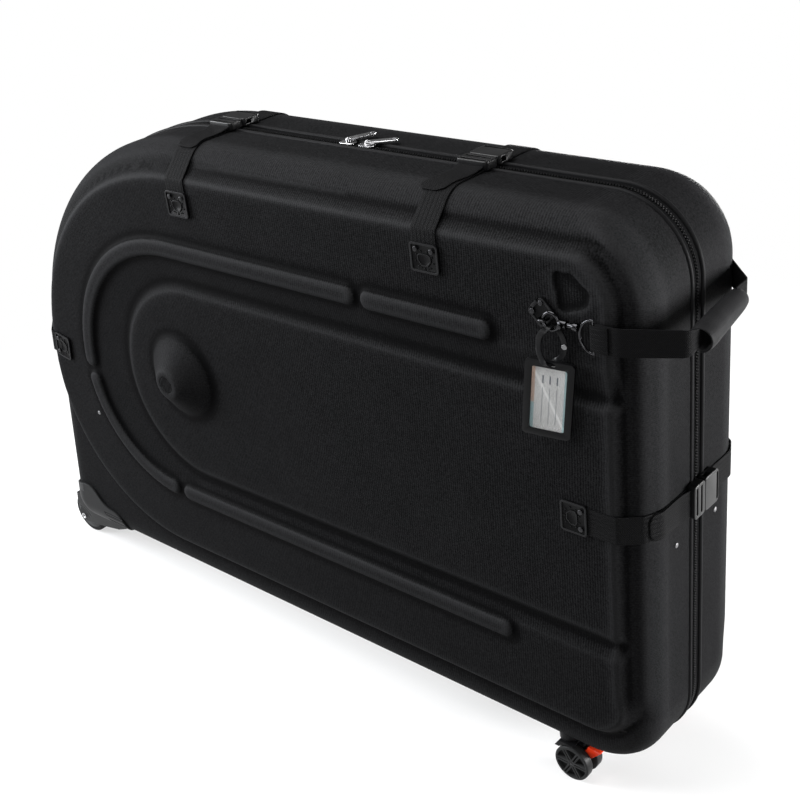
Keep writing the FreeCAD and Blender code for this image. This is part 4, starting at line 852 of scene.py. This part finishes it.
NICKEL = worked_metal("nickel", (0.12, 0.12, 0.125), (0.26, 0.26, 0.265), 0.34, 0.0006)
BLACKED_STEEL = worked_metal("blacked_steel", (0.012, 0.012, 0.013), (0.05, 0.05, 0.053), 0.28, 0.0006)
for half, side, body in HALVES:
    outward = (0, side, 0)
    heads = []
    for name, place in STRAP_PLACES.items():
        for aside in (-RIVET_ASIDE, RIVET_ASIDE):
            seat = Vector((aside, -PLATE_OUT, RIVET_UP - place.plate_inset))
            heads.append(rivet_head(at_place(name, side) @ seat, outward))
    if side < 0:
        seats = [(DIAMOND_X - DIAMOND_RIVET, DIAMOND_Z), (DIAMOND_X, DIAMOND_Z + DIAMOND_RIVET)]
    else:
        seats = [(HANDLE_PLATE_X + RIVET_UP, HANDLE_PLATE_Z + aside) for aside in (-RIVET_ASIDE, RIVET_ASIDE)]
    heads += [shell_rivet(x, side * PLATE_OUT, z, outward) for x, z in seats]
    fit(joined(heads, half + "_plate_rivets"), half + "_rivets", BLACKED_STEEL)
    pair = [shell_rivet(x, side * y, z, way)
            for (x, y, z), way in ((END_RIVET, (1, 0, 0)), (FACE_RIVET, outward))]
    dress(joined(pair, half + "_board_rivets"), NICKEL, body)

# Closing straps: polypropylene webbing, 40 mm wide, from under each plate over the crest of
# the face and across the valley to the rim. The loose tail is folded back on top.
WEBBING_WIDE, WEBBING_THICK, WEBBING_EASE = 0.04, 0.002, 0.0006
WEBBING_COLUMNS = 8
STRAP_LIFT = 0.0013
STRAP_END = -0.017
UNDER_PLATE = 0.01
CREST_RISE, CREST_BEND = 0.0006, 0.0083
RIM_MIDDLE, RIM_BEND = 0.071, 0.042
END_RIM_FOOT, END_RIM_TOP = (-0.1098, -0.0098), (-0.088, STRAP_LIFT)
END_RIM_BENDS = [0.012, 0.02]
TAIL_WIDE, TAIL_THICK, TAIL_LIFT = 0.0396, 0.0018, 0.0023
TAIL_ROOT = [(-0.0225, 0.0062), (-0.030, 0.0052), (-0.040, 0.0030)]
TAIL_LANDS, TAIL_STEP = 0.033, 0.004
TAIL_ROUND_FROM = 0.86
TAILS = {"top_left": (0.083, 0.0), "top_right": (0.083, -0.013), "right": (0.092, 0.0), "left": (0.075, 0.0)}
HERRINGBONE_COLUMN, HERRINGBONE_RIB = 0.0033, 0.0021


def rounded_run(points, bends, steps):
    """A run of flat webbing through points in its own plane, its corners rounded to these radii."""
    points = [Vector(point) for point in points]
    run = [points[0]]
    for before, corner, after, bend in zip(points, points[1:], points[2:], bends):
        way_in, way_out = (before - corner).normalized(), (after - corner).normalized()
        half = way_in.angle(way_out) / 2
        middle = corner + (way_in + way_out).normalized() * bend / math.sin(half)
        first = corner + way_in * bend / math.tan(half)
        last = corner + way_out * bend / math.tan(half)
        turn = (first - middle).angle_signed(last - middle)
        for step in range(steps + 1):
            run.append(middle + Matrix.Rotation(-turn * step / steps, 2) @ (first - middle))
    return run + [points[-1]]


def strap_route(name):
    """The webbing's line in (y, z): under the plate, over the crest, straight to the rim and round it."""
    place = STRAP_PLACES[name]
    corner = (-(FACE_OUT + STRAP_LIFT), CREST_RISE - place.crest_inset)
    start, end = (corner[0], -place.plate_inset - UNDER_PLATE), (STRAP_END, STRAP_LIFT)
    if name == "right":
        return rounded_run([start, corner, END_RIM_FOOT, END_RIM_TOP, end], [CREST_BEND] + END_RIM_BENDS, 10)
    around = RIM_BEND + STRAP_LIFT
    dy, dz = corner[0] + RIM_MIDDLE, corner[1] + RIM_BEND
    touch = math.atan2(dz, dy) % (2 * math.pi) - math.acos(around / math.hypot(dy, dz))
    share = (touch - math.pi / 2) / 2
    knee = (-RIM_MIDDLE + around / math.cos(share) * math.cos(math.pi / 2 + share),
            -RIM_BEND + around / math.cos(share) * math.sin(math.pi / 2 + share))
    return rounded_run([start, corner, knee, end], [CREST_BEND, around], 14)


def cloth_strip(name, rows, places, closed=False):
    """A thin strip through rows of points, facing outwards, with its own length and width as its map."""
    wide, count = len(rows[0]), len(rows)
    faces = []
    for row in range(count if closed else count - 1):
        here, there = row * wide, (row + 1) % count * wide
        faces += [(here + k, here + k + 1, there + k + 1, there + k) for k in range(wide - 1)]
    strip = put(name, bpy.data.meshes.new(name))
    strip.data.from_pydata([point for row in rows for point in row], [], faces)
    if places:
        chart = strip.data.uv_layers.new(name="webbing")
        for loop in strip.data.loops:
            chart.data[loop.index].uv = places[loop.vertex_index]
    with editing(strip):
        bpy.ops.mesh.normals_make_consistent(inside=False)
    return strip


def webbing(name, line, across, width, thick, drift=None):
    """Flat webbing along a line of points. width is one number or a function of the share of the length;
    drift moves it sideways along its length."""
    spans = [0.0]
    for a, b in zip(line, line[1:]):
        spans.append(spans[-1] + (b - a).length)
    rows, places = [], []
    for spot, length in zip(line, spans):
        share = length / spans[-1]
        wide = width(share) if callable(width) else width
        aside = drift(share) if drift else 0.0
        offs = [(column / WEBBING_COLUMNS - 0.5) * wide for column in range(WEBBING_COLUMNS + 1)]
        rows.append([spot + across * (off + aside) for off in offs])
        places += [(off + 0.5, length) for off in offs]
    piece = cloth_strip(name, rows, places)
    apply_modifier(piece, "SOLIDIFY", thickness=thick, offset=0, use_even_offset=True)
    ease_edges(piece, WEBBING_EASE, 2, 60)
    shade(piece, 40)
    return piece


def herringbone_webbing():
    """Webbing woven in narrow herringbone columns, with a dull sheen."""
    finish = Finish("herringbone_webbing", (0.012, 0.012, 0.013), 0.55, Specular_IOR_Level=0.03)
    across, along, _ = finish.axes("webbing")
    zigzag = across.reckon("PINGPONG", HERRINGBONE_COLUMN)
    ribs = (along + zigzag * 0.9).wave(HERRINGBONE_RIB)
    columns = across.wave(HERRINGBONE_COLUMN)
    fuzz = finish.noise(700.0, 3.0)
    finish.relief(ribs * 0.5 + columns * 0.35 + fuzz, 0.6, 0.0005)
    finish.tint(ribs * 0.33 + fuzz * 0.3 + 0.35, (0.0115, 0.0115, 0.012), (0.002, 0.002, 0.0022))
    return finish


def tail_route(name, reach):
    """The folded tail: out of the buckle, down onto the strap and along it as far as it reaches."""
    route = [Vector((y, STRAP_LIFT + z)) for y, z in TAIL_ROOT]
    line = strap_route(name)[::-1]
    gone = 0.0
    for a, b in zip(line, line[1:]):
        run = (b - a).length
        steps = max(1, int(run / TAIL_STEP))
        off = Vector((-(b - a).y, (b - a).x)).normalized()
        off = off if off.y + abs(off.x) * 0.2 > 0 else -off
        for step in range(steps):
            if TAIL_LANDS < gone + run * step / steps < reach:
                route.append(a.lerp(b, step / steps) + off * TAIL_LIFT)
        gone += run
    return route


def tail_width(share):
    """A tail is even in width up to its rounded end."""
    return TAIL_WIDE * (1 - 0.5 * max(0, (share - TAIL_ROUND_FROM) / (1 - TAIL_ROUND_FROM)) ** 3)


def on_strap(name, side, route):
    """A strap's line and its way across, at its place on the case."""
    place = at_place(name, side)
    return [place @ Vector((0, y, z)) for y, z in route], (place.to_3x3() @ Vector((1, 0, 0))).normalized()


HERRINGBONE = herringbone_webbing()
for half, side, body in HALVES:
    laid = {}
    for name in STRAP_PLACES:
        line, across = on_strap(name, side, strap_route(name))
        laid[name] = webbing(half + "_webbing_" + name, line, across, WEBBING_WIDE, WEBBING_THICK)
    tops = joined([laid.pop("top_left"), laid.pop("top_right")], half + "_webbing_top")
    fit(tops, half + "_top_straps", HERRINGBONE)
    for name, strap in laid.items():
        fit(strap, half + "_strap_" + name, HERRINGBONE)
for name, (reach, aside) in TAILS.items():
    line, across = on_strap(name, -1, tail_route(name, reach))
    tail = webbing("tail_" + name, line, across, tail_width, TAIL_THICK, lambda share: aside * share ** 3)
    dress(tail, HERRINGBONE, "male_" + name)

# Side-release buckles: two moulded halves of black plastic, the prongs on the lid's strap
# and the socket on the other.
BUCKLE_BLACK = glossy_black("buckle_black", 0.4)
for name in STRAP_PLACES:
    for half in ("male", "female"):
        fit_eased(f"buckle_{half}_{name}", f"{half}_half_{name}", 0.0006, BUCKLE_BLACK)

# Carrying handle, its staple, snap hook and ring: bent and turned steel with a dark chrome
# plating, on the turned plate.
HANDLE_OUT = 0.1392
HANDLE_HEIGHT = 0.753
RING_BAR = 0.6042
RING_HALF, RING_REACH, RING_WIRE = 0.0212, 0.0186, 0.0017
RING_STEPS = 24


def bent_ring():
    """A ring bent from wire: a straight bar for the webbing and a round bow for the hook."""
    wire = bpy.data.curves.new("handle_ring_plated", "CURVE")
    wire.dimensions = "3D"
    wire.bevel_depth = RING_WIRE
    wire.bevel_resolution = 4
    bow = wire.splines.new("POLY")
    bow.points.add(RING_STEPS)
    for step, point in enumerate(bow.points):
        turn = math.pi / 2 + math.pi * step / RING_STEPS
        x, z = RING_BAR + RING_REACH * math.cos(turn), HANDLE_HEIGHT + RING_HALF * math.sin(turn)
        point.co = (x, -HANDLE_OUT, z, 1)
    bow.use_cyclic_u = True
    put("handle_ring_plated", wire)
    bpy.ops.object.convert(target="MESH")
    shade(bpy.context.object, 50)
    return bpy.context.object


DARK_CHROME = worked_metal("dark_chrome", (0.02, 0.02, 0.022), (0.06, 0.06, 0.063), 0.18, 0.0007)
for node in ("handle_staple", "snap_hook", "snap_bolt"):
    fit_eased(node, node + "_plated", 0.0004, DARK_CHROME)
fit(bent_ring(), "handle_ring", DARK_CHROME)

# Carrying handle, its webbing and rolled grip: one length of 36 mm webbing from the ring
# round the end of the case to a plate at the back. A padded wrap is rolled round it and
# sewn shut as a grip.
HANDLE_WIDE = 0.036
FRONT_RUN = [(-HANDLE_OUT, 0.5849), (-HANDLE_OUT, 0.616), (-0.103, 0.687), (-0.076, 0.687)]
BACK_RUN = [(0.1303, 0.530), (0.1303, 0.6026), (0.058, 0.673), (0.030, 0.673)]
HOOK_BEND, GRIP_BEND = 0.022, 0.011
FOLD_RADIUS, FOLD_THICK, FOLD_WAIST = 0.0029, 0.0018, 0.003
FOLD_IN, FOLD_OUT = [(-0.1376, 0.5965)], [(-0.1424, 0.5925), (-0.1418, 0.6045)]
GRIP_FROM = Vector((0.70799, -0.081, 0.749))
GRIP_TO = Vector((0.69399, 0.036, 0.753))
GRIP_RADIUS, GRIP_LAP, GRIP_CLOTH = 0.0126, 0.0022, 0.0021
GRIP_ROLL_FROM, GRIP_ROLL = -340, 430
GRIP_STEPS, GRIP_ROWS = 56, 30
GRIP_FRONT_SWELL, GRIP_SWELL_DROP, GRIP_NECK = 1.34, 0.22, 0.10


def standing(points):
    """Webbing standing on edge; points are (y, x) in the plane of the handle."""
    return [Vector((CASE_SHIFT + x, y, HANDLE_HEIGHT)) for y, x in points]


def gathered(by, start):
    """The handle's width along its length, gathered in by so much from a share of it on."""
    return lambda share: HANDLE_WIDE - by * max(0.0, (share - start) / (1 - start)) ** 1.5


def rolled_grip():
    """The wrap in section is one and a bit turns of a spiral, drawn out along the webbing and thickened."""
    way = (GRIP_TO - GRIP_FROM).normalized()
    out = Vector((1, 0, 0))
    out = (out - way * out.dot(way)).normalized()
    up = way.cross(out)
    rows, places = [], []
    for share in (row / GRIP_ROWS for row in range(GRIP_ROWS + 1)):
        spot = GRIP_FROM.lerp(GRIP_TO, share)
        ends = min(share, 1 - share) * 2
        neck = 1.0 - GRIP_NECK * (1 - min(1.0, ends * 3.2)) ** 2
        swell = neck * (GRIP_FRONT_SWELL - GRIP_SWELL_DROP * share)
        rows.append([])
        for part in (step / GRIP_STEPS for step in range(GRIP_STEPS + 1)):
            turn = math.radians(GRIP_ROLL_FROM + GRIP_ROLL * part)
            radius = (GRIP_RADIUS - GRIP_LAP * (1 - part)) * swell
            rows[-1].append(spot + (out * math.cos(turn) + up * math.sin(turn)) * radius)
            places.append((0.012 * turn + 0.5, share * (GRIP_TO - GRIP_FROM).length))
    grip = cloth_strip("rolled_grip", rows, places)
    apply_modifier(grip, "SOLIDIFY", thickness=GRIP_CLOTH, offset=0)
    ease_edges(grip, 0.0008, 3, 60)
    shade(grip, 45)
    return grip


def grip_cloth():
    """Coated cloth with a fine pebbled weave, with patches of wear."""
    finish = Finish("grip_cloth", (0.011, 0.011, 0.012), 0.55, Specular_IOR_Level=0.05)
    weave = finish.node("TexVoronoi", Scale=650.0, feature="F1")
    finish.sheet.links.new(finish.place, weave.inputs["Vector"])
    finish.relief(Pattern(weave.outputs["Distance"]), 0.45, 0.0005)
    finish.tint(finish.noise(40.0, 5.0), (0.024, 0.024, 0.025), (0.009, 0.009, 0.0095))
    return finish


upright = Vector((0, 0, 1))
front_line = standing(rounded_run(FRONT_RUN, [HOOK_BEND, GRIP_BEND], 12))
front_band = webbing("handle_band_front", front_line, upright, gathered(0.016, 0.7), WEBBING_THICK)
around_bar = [(-HANDLE_OUT + FOLD_RADIUS * math.sin(turn), RING_BAR - CASE_SHIFT + FOLD_RADIUS * math.cos(turn))
              for turn in map(math.radians, range(90, 271, 18))]
fold_band = webbing("handle_fold", standing(FOLD_IN + around_bar + FOLD_OUT), upright,
                    lambda share: HANDLE_WIDE - FOLD_WAIST * math.sin(math.pi * share), FOLD_THICK)
fit(joined([front_band, fold_band], "handle_band_front"), "handle_strap_front", HERRINGBONE)
back_line = standing(rounded_run(BACK_RUN, [CREST_BEND, GRIP_BEND], 12))
back_band = webbing("handle_band_back", back_line, upright, gathered(0.005, 0.75), WEBBING_THICK)
fit(back_band, "handle_strap_back", HERRINGBONE)
grip = rolled_grip()
fit(grip, "handle_grip", grip_cloth())

# Luggage tag: a soft dark frame with a clear window, a printed card with ruled lines behind
# it, and a flat band looped through the frame's slot and the hook.
TAG_TURN = Matrix.Rotation(math.radians(6.5), 3, "Y") @ Matrix.Rotation(math.radians(18), 3, "Z")
TAG_PIVOT = Vector((0.54589, -HANDLE_OUT, 0.7538))
BAND_WIDE, BAND_THICK = 0.0075, 0.0016
BAND_LEAN = Matrix.Rotation(math.radians(1.5), 3, "Y")
BAND_NARROW_WITHIN = 0.012
BAND_ROUTE = [(0, 0, 0), (0, -4.8, 0), (-10.5, -6, -8.5), (-15, -6, -23.5), (-9, -10, -38.5), (0, -10, -47),
              (0, -4, -47), (0, 0.5, -47), (9, 4.5, -40.4), (15, 4.5, -23.5), (10.5, 4.5, -8.5), (0, 4.05, 0)]
STUD_PLACE, STUD_WAY = (0.5609, -0.1358, 0.7295), (0.25, -0.97, 0)
CARD_WIDE, CARD_HIGH = 0.05, 0.094
RULE_SPACE, RULE_SHIFT, RULE_THICK, DASH_THICK = 0.09, 0.02, 0.011, 0.02


def band_line():
    """The closed smooth line of the band, as points."""
    drawn = bpy.data.curves.new("tag_line", "CURVE")
    drawn.dimensions = "3D"
    spline = drawn.splines.new("BEZIER")
    spline.bezier_points.add(len(BAND_ROUTE) - 1)
    for knot, spot in zip(spline.bezier_points, BAND_ROUTE):
        knot.co = TAG_PIVOT + BAND_LEAN @ (Vector(spot) / 1000)
        knot.handle_left_type = knot.handle_right_type = "AUTO"
    spline.use_cyclic_u = True
    spline.resolution_u = 8
    put("tag_line", drawn)
    bpy.ops.object.convert(target="MESH")
    line = [v.co.copy() for v in bpy.context.object.data.vertices]
    bpy.data.objects.remove(bpy.context.object)
    return line


def tag_band():
    """The band has its flat side to the front, and is narrower where it passes through the hook."""
    line = band_line()
    rows = []
    for before, spot, after in zip(line[-1:] + line, line, line[1:] + line[:1]):
        way = (after - before).normalized()
        wide = Vector((1, 0, 0)) - way * way.x
        narrowed = min(1, 0.5 + 0.5 * (spot - TAG_PIVOT).length / BAND_NARROW_WITHIN)
        wide = wide.normalized() * BAND_WIDE / 2 * narrowed
        rows.append([spot - wide, spot - wide / 3, spot + wide / 3, spot + wide])
    band = cloth_strip("tag_band", rows, None, closed=True)
    apply_modifier(band, "SOLIDIFY", thickness=BAND_THICK, offset=0)
    ease_edges(band, 0.0005, 2, 60)
    shade(band, 50)
    return band


def soft_vinyl():
    """Soft dark vinyl with a slightly pebbled skin."""
    finish = Finish("soft_vinyl", (0.02, 0.02, 0.0215), 0.36, Specular_IOR_Level=0.12)
    finish.relief(finish.noise(520.0, 3.0), 0.15, 0.0003)
    finish.tint(finish.noise(45.0, 4.0), (0.009, 0.0092, 0.0098), (0.004, 0.004, 0.0045))
    return finish


def printed_card():
    """White card with ruled lines to write on, a dash at the head of each and tinted stripes at its sides."""
    finish = Finish("printed_card", (0.86, 0.86, 0.84), 0.55)
    across, up, _ = finish.axes("card")
    rule = (across + RULE_SHIFT).reckon("PINGPONG", RULE_SPACE)
    ruled = across.between(0.3, 0.85)
    lines = rule.reckon("LESS_THAN", RULE_THICK) * (up.between(0.12, 0.66) * ruled)
    dashes = rule.reckon("LESS_THAN", DASH_THICK) * (up.between(0.72, 0.84) * ruled)
    ink = lines * 0.5 + dashes * 0.8 + finish.noise(300.0, 4.0) * 0.06
    finish.tint(ink, (0.06, 0.09, 0.12), (0.92, 0.92, 0.91))
    edge = across.between(0.0, 0.14)
    warm = edge * up.between(0.42, 1.0)
    cool = (edge * up.between(0.0, 0.42)).at_least(across.between(0.88, 1.0))
    finish.tint(warm * 0.6, (0.62, 0.30, 0.14))
    finish.tint(cool * 0.6, (0.22, 0.55, 0.60))
    return finish


def clear_film():
    """Clear film with a slow ripple."""
    finish = Finish("clear_film", (0.95, 0.96, 0.97), 0.12, Alpha=0.03)
    finish.relief(finish.noise(30.0, 2.0), 0.08, 0.0006)
    return finish


def flat_card():
    """The card's solid, with its own width and height as its map."""
    card = eased_copy("tag_card", "tag_paper", 0)
    middle = Vector([(a + b) / 2 for a, b in zip(*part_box("tag_card"))])
    chart = card.data.uv_layers.new(name="card")
    for loop in card.data.loops:
        flat = TAG_TURN.transposed() @ (card.data.vertices[loop.vertex_index].co - middle)
        chart.data[loop.index].uv = (flat.x / CARD_WIDE + 0.5, flat.z / CARD_HIGH + 0.5)
    return card


SOFT_VINYL = soft_vinyl()
fit(tag_band(), "tag_loop", SOFT_VINYL)
stud = rivet_head(STUD_PLACE, STUD_WAY)
stud.name = "tag_stud"
dress(stud, NICKEL, "tag")
fit_eased("tag_frame", "tag_holder", 0.0009, SOFT_VINYL)
fit(flat_card(), "tag_card", printed_card())
fit_eased("tag_window", "tag_film", 0, clear_film())

# Corner wheels and their covers: a grey moulded cover wraps each lower corner and carries a
# rubber-tyred wheel on a bolt. A stepped round dish surrounds the bolt's head.
CORNER_GRID = 0.0016
BOLT_RIM, BOLT_SOCKET = 0.0022, 0.0011


def moulded_corner(node, name):
    """The cover's solid, softened all over as a thick moulding."""
    cover = welded_copy(node, name)
    cover.data.remesh_voxel_size = CORNER_GRID
    bpy.ops.object.voxel_remesh()
    apply_modifier(cover, "SMOOTH", factor=0.5, iterations=2)
    bpy.ops.object.shade_smooth()
    return cover


def socket_bolt(node, name, side):
    """The axle's bolt, with a round socket sunk in its head; the socket takes the second finish, a dark one
    that paints the shade of the hollow.
    """
    bolt = eased_copy(node, name, 0.0004)
    head = max(bolt.data.polygons, key=lambda f: side * f.center.y).index
    select_faces(bolt, lambda f: f.index == head)
    with editing(bolt, every=False):
        bpy.ops.mesh.select_mode(type="FACE")
        bpy.ops.mesh.inset(thickness=BOLT_RIM)
        extrude(0, -side * BOLT_SOCKET, 0)
    for face in bolt.data.polygons:
        face.material_index = int(face.select)
    return bolt


def satin_plastic(name, dark, light, roughness, grain_size, gloss=0.08):
    """Moulded plastic with a spark-eroded grain and slight clouding, paler where a piece notes painted light on
    what stands out, so that its hollows keep a painted shade.
    """
    finish = Finish(name, light, roughness, Specular_IOR_Level=gloss)
    cloud = finish.noise(35.0, 5.0, 0.65)
    finish.dull(cloud * 0.14 + (roughness - 0.07))
    finish.relief(finish.noise(1 / grain_size, 3.0, 0.6), 0.2, 0.0003)
    # Painted light: parts noted as standing out are coloured paler, the hollows darker.
    finish.tint(cloud + finish.noted("painted_relief_light"), light, dark)
    return finish


COVER_GREY = satin_plastic("cover_grey", (0.011, 0.0112, 0.0115), (0.02, 0.0204, 0.021), 0.5, 0.0009)
WHEEL_GREY = satin_plastic("wheel_grey", (0.03, 0.031, 0.032), (0.055, 0.0565, 0.058), 0.4, 0.0008)
TYRE_RUBBER = satin_plastic("tyre_rubber", (0.01, 0.01, 0.0105), (0.02, 0.02, 0.0205), 0.62, 0.0006)
BRIGHT_STEEL = worked_metal("bright_steel", (0.4, 0.4, 0.41), (0.62, 0.62, 0.63), 0.28, 0.0006)
for half, side, body in HALVES:
    corner = half + "_corner_"
    fit(moulded_corner(corner + "housing", corner + "cover"), corner + "housing", COVER_GREY)
    fit_eased(corner + "tyre", corner + "rubber", 0.001, TYRE_RUBBER)
    fit_eased(corner + "core", corner + "hub", 0.0008, WHEEL_GREY)
    bolt = socket_bolt(corner + "axle", corner + "bolt", side)
    fit(bolt, corner + "axle", BRIGHT_STEEL)
    # The socket is coloured dark blacked steel as painted shade in the hollow.
    bolt.data.materials.append(BLACKED_STEEL.material)

# Castors with brakes: twin moulded wheels with six double spokes on a swivelling black hood,
# and a glossy red brake lever between them.
PAINTED_LIGHT_DEPTH = 0.003


def paint_rim_light(wheel):
    """Notes which parts of a wheel stand out at its two sides, to be coloured paler as a painted highlight; the
    deep parts between the spokes stay dark as painted shade.
    """
    y = points_of(wheel, "co")[:, 1]
    deep = np.minimum(y - y.min(), y.max() - y)
    note(wheel, "painted_relief_light", np.maximum(0.0, 1.0 - deep / PAINTED_LIGHT_DEPTH))


CASTOR_BLACK = satin_plastic("castor_black", (0.005, 0.005, 0.0055), (0.011, 0.011, 0.0117), 0.4, 0.0008)
# The wheels' wide span from dark to light is painted light: highlight on the standing rims, shade in the
# hollows.
CASTOR_WHEEL = satin_plastic("castor_wheel", (0.0015, 0.0016, 0.0017), (0.026, 0.0266, 0.027), 0.38, 0.0008)
BRAKE_RED = satin_plastic("brake_red", (0.72, 0.03, 0.008), (0.92, 0.065, 0.016), 0.22, 0.0012, 0.4)
CASTOR_PIECES = (
    ("mount", 0.0006, CASTOR_BLACK, "castor_plastic"),
    ("fork", 0.0007, CASTOR_BLACK, "castor_plastic"),
    ("axle", 0.0004, BLACKED_STEEL, "steel"),
    ("wheel_outer", 0.0007, CASTOR_WHEEL, "wheel_plastic"),
    ("wheel_inner", 0.0007, CASTOR_WHEEL, "wheel_plastic"),
)
for half, side, body in HALVES:
    for part, ease, finish, slot in CASTOR_PIECES:
        node = f"{half}_castor_{part}"
        piece = eased_copy(node, node + "_moulded", ease)
        if part.startswith("wheel"):
            paint_rim_light(piece)
        fit(piece, node, finish)
    fit_eased(half + "_brake_lever", half + "_brake_pedal", 0.001, BRAKE_RED)

# Tie straps inside: two lengths of webbing sewn to the back lining, to hold the bicycle
# down.
TIE_PLACES = (-0.04, 0.34)
TIE_OUT, TIE_FOOT, TIE_LONG, TIE_THICK = 0.1157, 0.195, 0.56, 0.0018
TIE_STEPS = 40
ties = []
for x in TIE_PLACES:
    heights = [TIE_FOOT + TIE_LONG * step / TIE_STEPS for step in range(TIE_STEPS + 1)]
    line = [Vector((CASE_SHIFT + x, TIE_OUT, z)) for z in heights]
    ties.append(webbing("tie", line, Vector((1, 0, 0)), WEBBING_WIDE, TIE_THICK))
fit(joined(ties, "tie_webbing"), "tie_straps", HERRINGBONE)

# Studio: a pale floor, a white surround, broad lights over the case and at its left, and
# weaker ones in front, behind and at its right. The camera stands as for the photograph.
PALE = 0.93
BOUNCE = 0.035
FLOOR_FADE_FROM, FLOOR_GLOW_NEAR, FLOOR_GLOW_RISE = 0.7, 0.55, 0.45
SURROUND = 0.13


def mix_shaders(sheet, share, first, second):
    """A shader that goes from one to another by a share."""
    mixed = sheet.nodes.new("ShaderNodeMixShader")
    for socket, source in zip(mixed.inputs, (share, first, second)):
        sheet.links.new(source, socket)
    return mixed.outputs[0]


floor = start_from(bpy.ops.mesh.primitive_grid_add, x_subdivisions=4, y_subdivisions=4, size=40)
floor.name = "studio_floor"
paint = Finish("studio_floor", (PALE, PALE, PALE), 0.9, Specular_IOR_Level=0.0)
far = paint.node("VectorMath", operation="LENGTH")
paint.sheet.links.new(paint.place, far.inputs[0])
away = (Pattern(far.outputs["Value"]) - FLOOR_FADE_FROM).at_least(0.0).at_most(1.0)
path = paint.node("LightPath").outputs
seen = Pattern(path["Is Camera Ray"]).at_least(Pattern(path["Is Glossy Ray"]))
shows = (away * FLOOR_GLOW_RISE + FLOOR_GLOW_NEAR) * seen
glow = paint.node("Emission", Color=(1, 1, 1, 1), Strength=1.0)
dull = paint.node("BsdfDiffuse", Color=(BOUNCE, BOUNCE, BOUNCE, 1))
lit = mix_shaders(paint.sheet, shows.socket, paint.shader.outputs[0], glow.outputs[0])
lit = mix_shaders(paint.sheet, path["Is Diffuse Ray"], lit, dull.outputs[0])
paint.sheet.links.new(lit, paint.sheet.nodes["Material Output"].inputs[0])
floor.data.materials.append(paint.material)

world = bpy.data.worlds.new("studio")
bpy.context.scene.world = world
world.use_nodes = True
sky = world.node_tree
surround, white = sky.nodes["Background"], sky.nodes.new("ShaderNodeBackground")
for light, strength in ((surround, SURROUND), (white, 1.0)):
    light.inputs["Color"].default_value = (1, 1, 1, 1)
    light.inputs["Strength"].default_value = strength
by_camera = sky.nodes.new("ShaderNodeLightPath").outputs["Is Camera Ray"]
backdrop = mix_shaders(sky, by_camera, surround.outputs[0], white.outputs[0])
sky.links.new(backdrop, sky.nodes["World Output"].inputs[0])


def softbox(name, place, aim, width, height, power, tint=(1, 1, 1)):
    """A broad soft light that looks at a point."""
    lamp = bpy.data.lights.new(name, "AREA")
    lamp.shape = "RECTANGLE"
    lamp.size, lamp.size_y = width, height
    lamp.energy = power
    lamp.color = tint
    facing = (Vector(aim) - Vector(place)).to_track_quat("-Z", "Y").to_matrix().to_4x4()
    put(name, lamp).matrix_world = Matrix.Translation(place) @ facing


softbox("over_light", (-0.6, -0.35, 2.9), (-0.1, 0.0, 0.4), 3.0, 1.7, 98)
softbox("left_light", (-2.8, -1.5, 1.5), (-0.3, 0.0, 0.45), 1.6, 2.0, 180, (0.95, 0.97, 1.0))
softbox("front_light", (1.9, -3.0, 1.5), (0.2, 0.0, 0.45), 1.4, 1.4, 30)
softbox("back_light", (-0.6, 3.2, 0.5), (0.0, 0.0, 0.45), 2.0, 0.7, 90)
softbox("right_light", (2.6, 1.2, 0.55), (0.5, 0.0, 0.25), 1.2, 1.0, 150)

# The camera was fitted to the photograph: which way its right, down and forward point on the
# case, and where the case's own origin lies from it.
CAMERA_LENS, CAMERA_SENSOR = 57.517, 36
CAMERA_WAYS = (Vector((0.7536, 0.6497, -0.0996)), Vector((0.2345, -0.4074, -0.8826)),
               Vector((-0.614, 0.6418, -0.4594)))
CASE_FROM_CAMERA = Vector((-0.0588181, 0.3422448, 2.2298077))
camera = bpy.data.cameras.new("photograph")
camera.lens = CAMERA_LENS
camera.sensor_width = CAMERA_SENSOR
camera.sensor_fit = "HORIZONTAL"
right, down, forward = CAMERA_WAYS
stand = Vector((CASE_SHIFT, 0, FLOOR_TO_CASE)) - Matrix(CAMERA_WAYS).transposed() @ CASE_FROM_CAMERA
facing = Matrix((right, -down, -forward)).transposed().to_4x4()
viewer = put("photograph", camera)
viewer.matrix_world = Matrix.Translation(stand) @ facing
bpy.context.scene.camera = viewer
bpy.context.scene.view_settings.view_transform = "Standard"
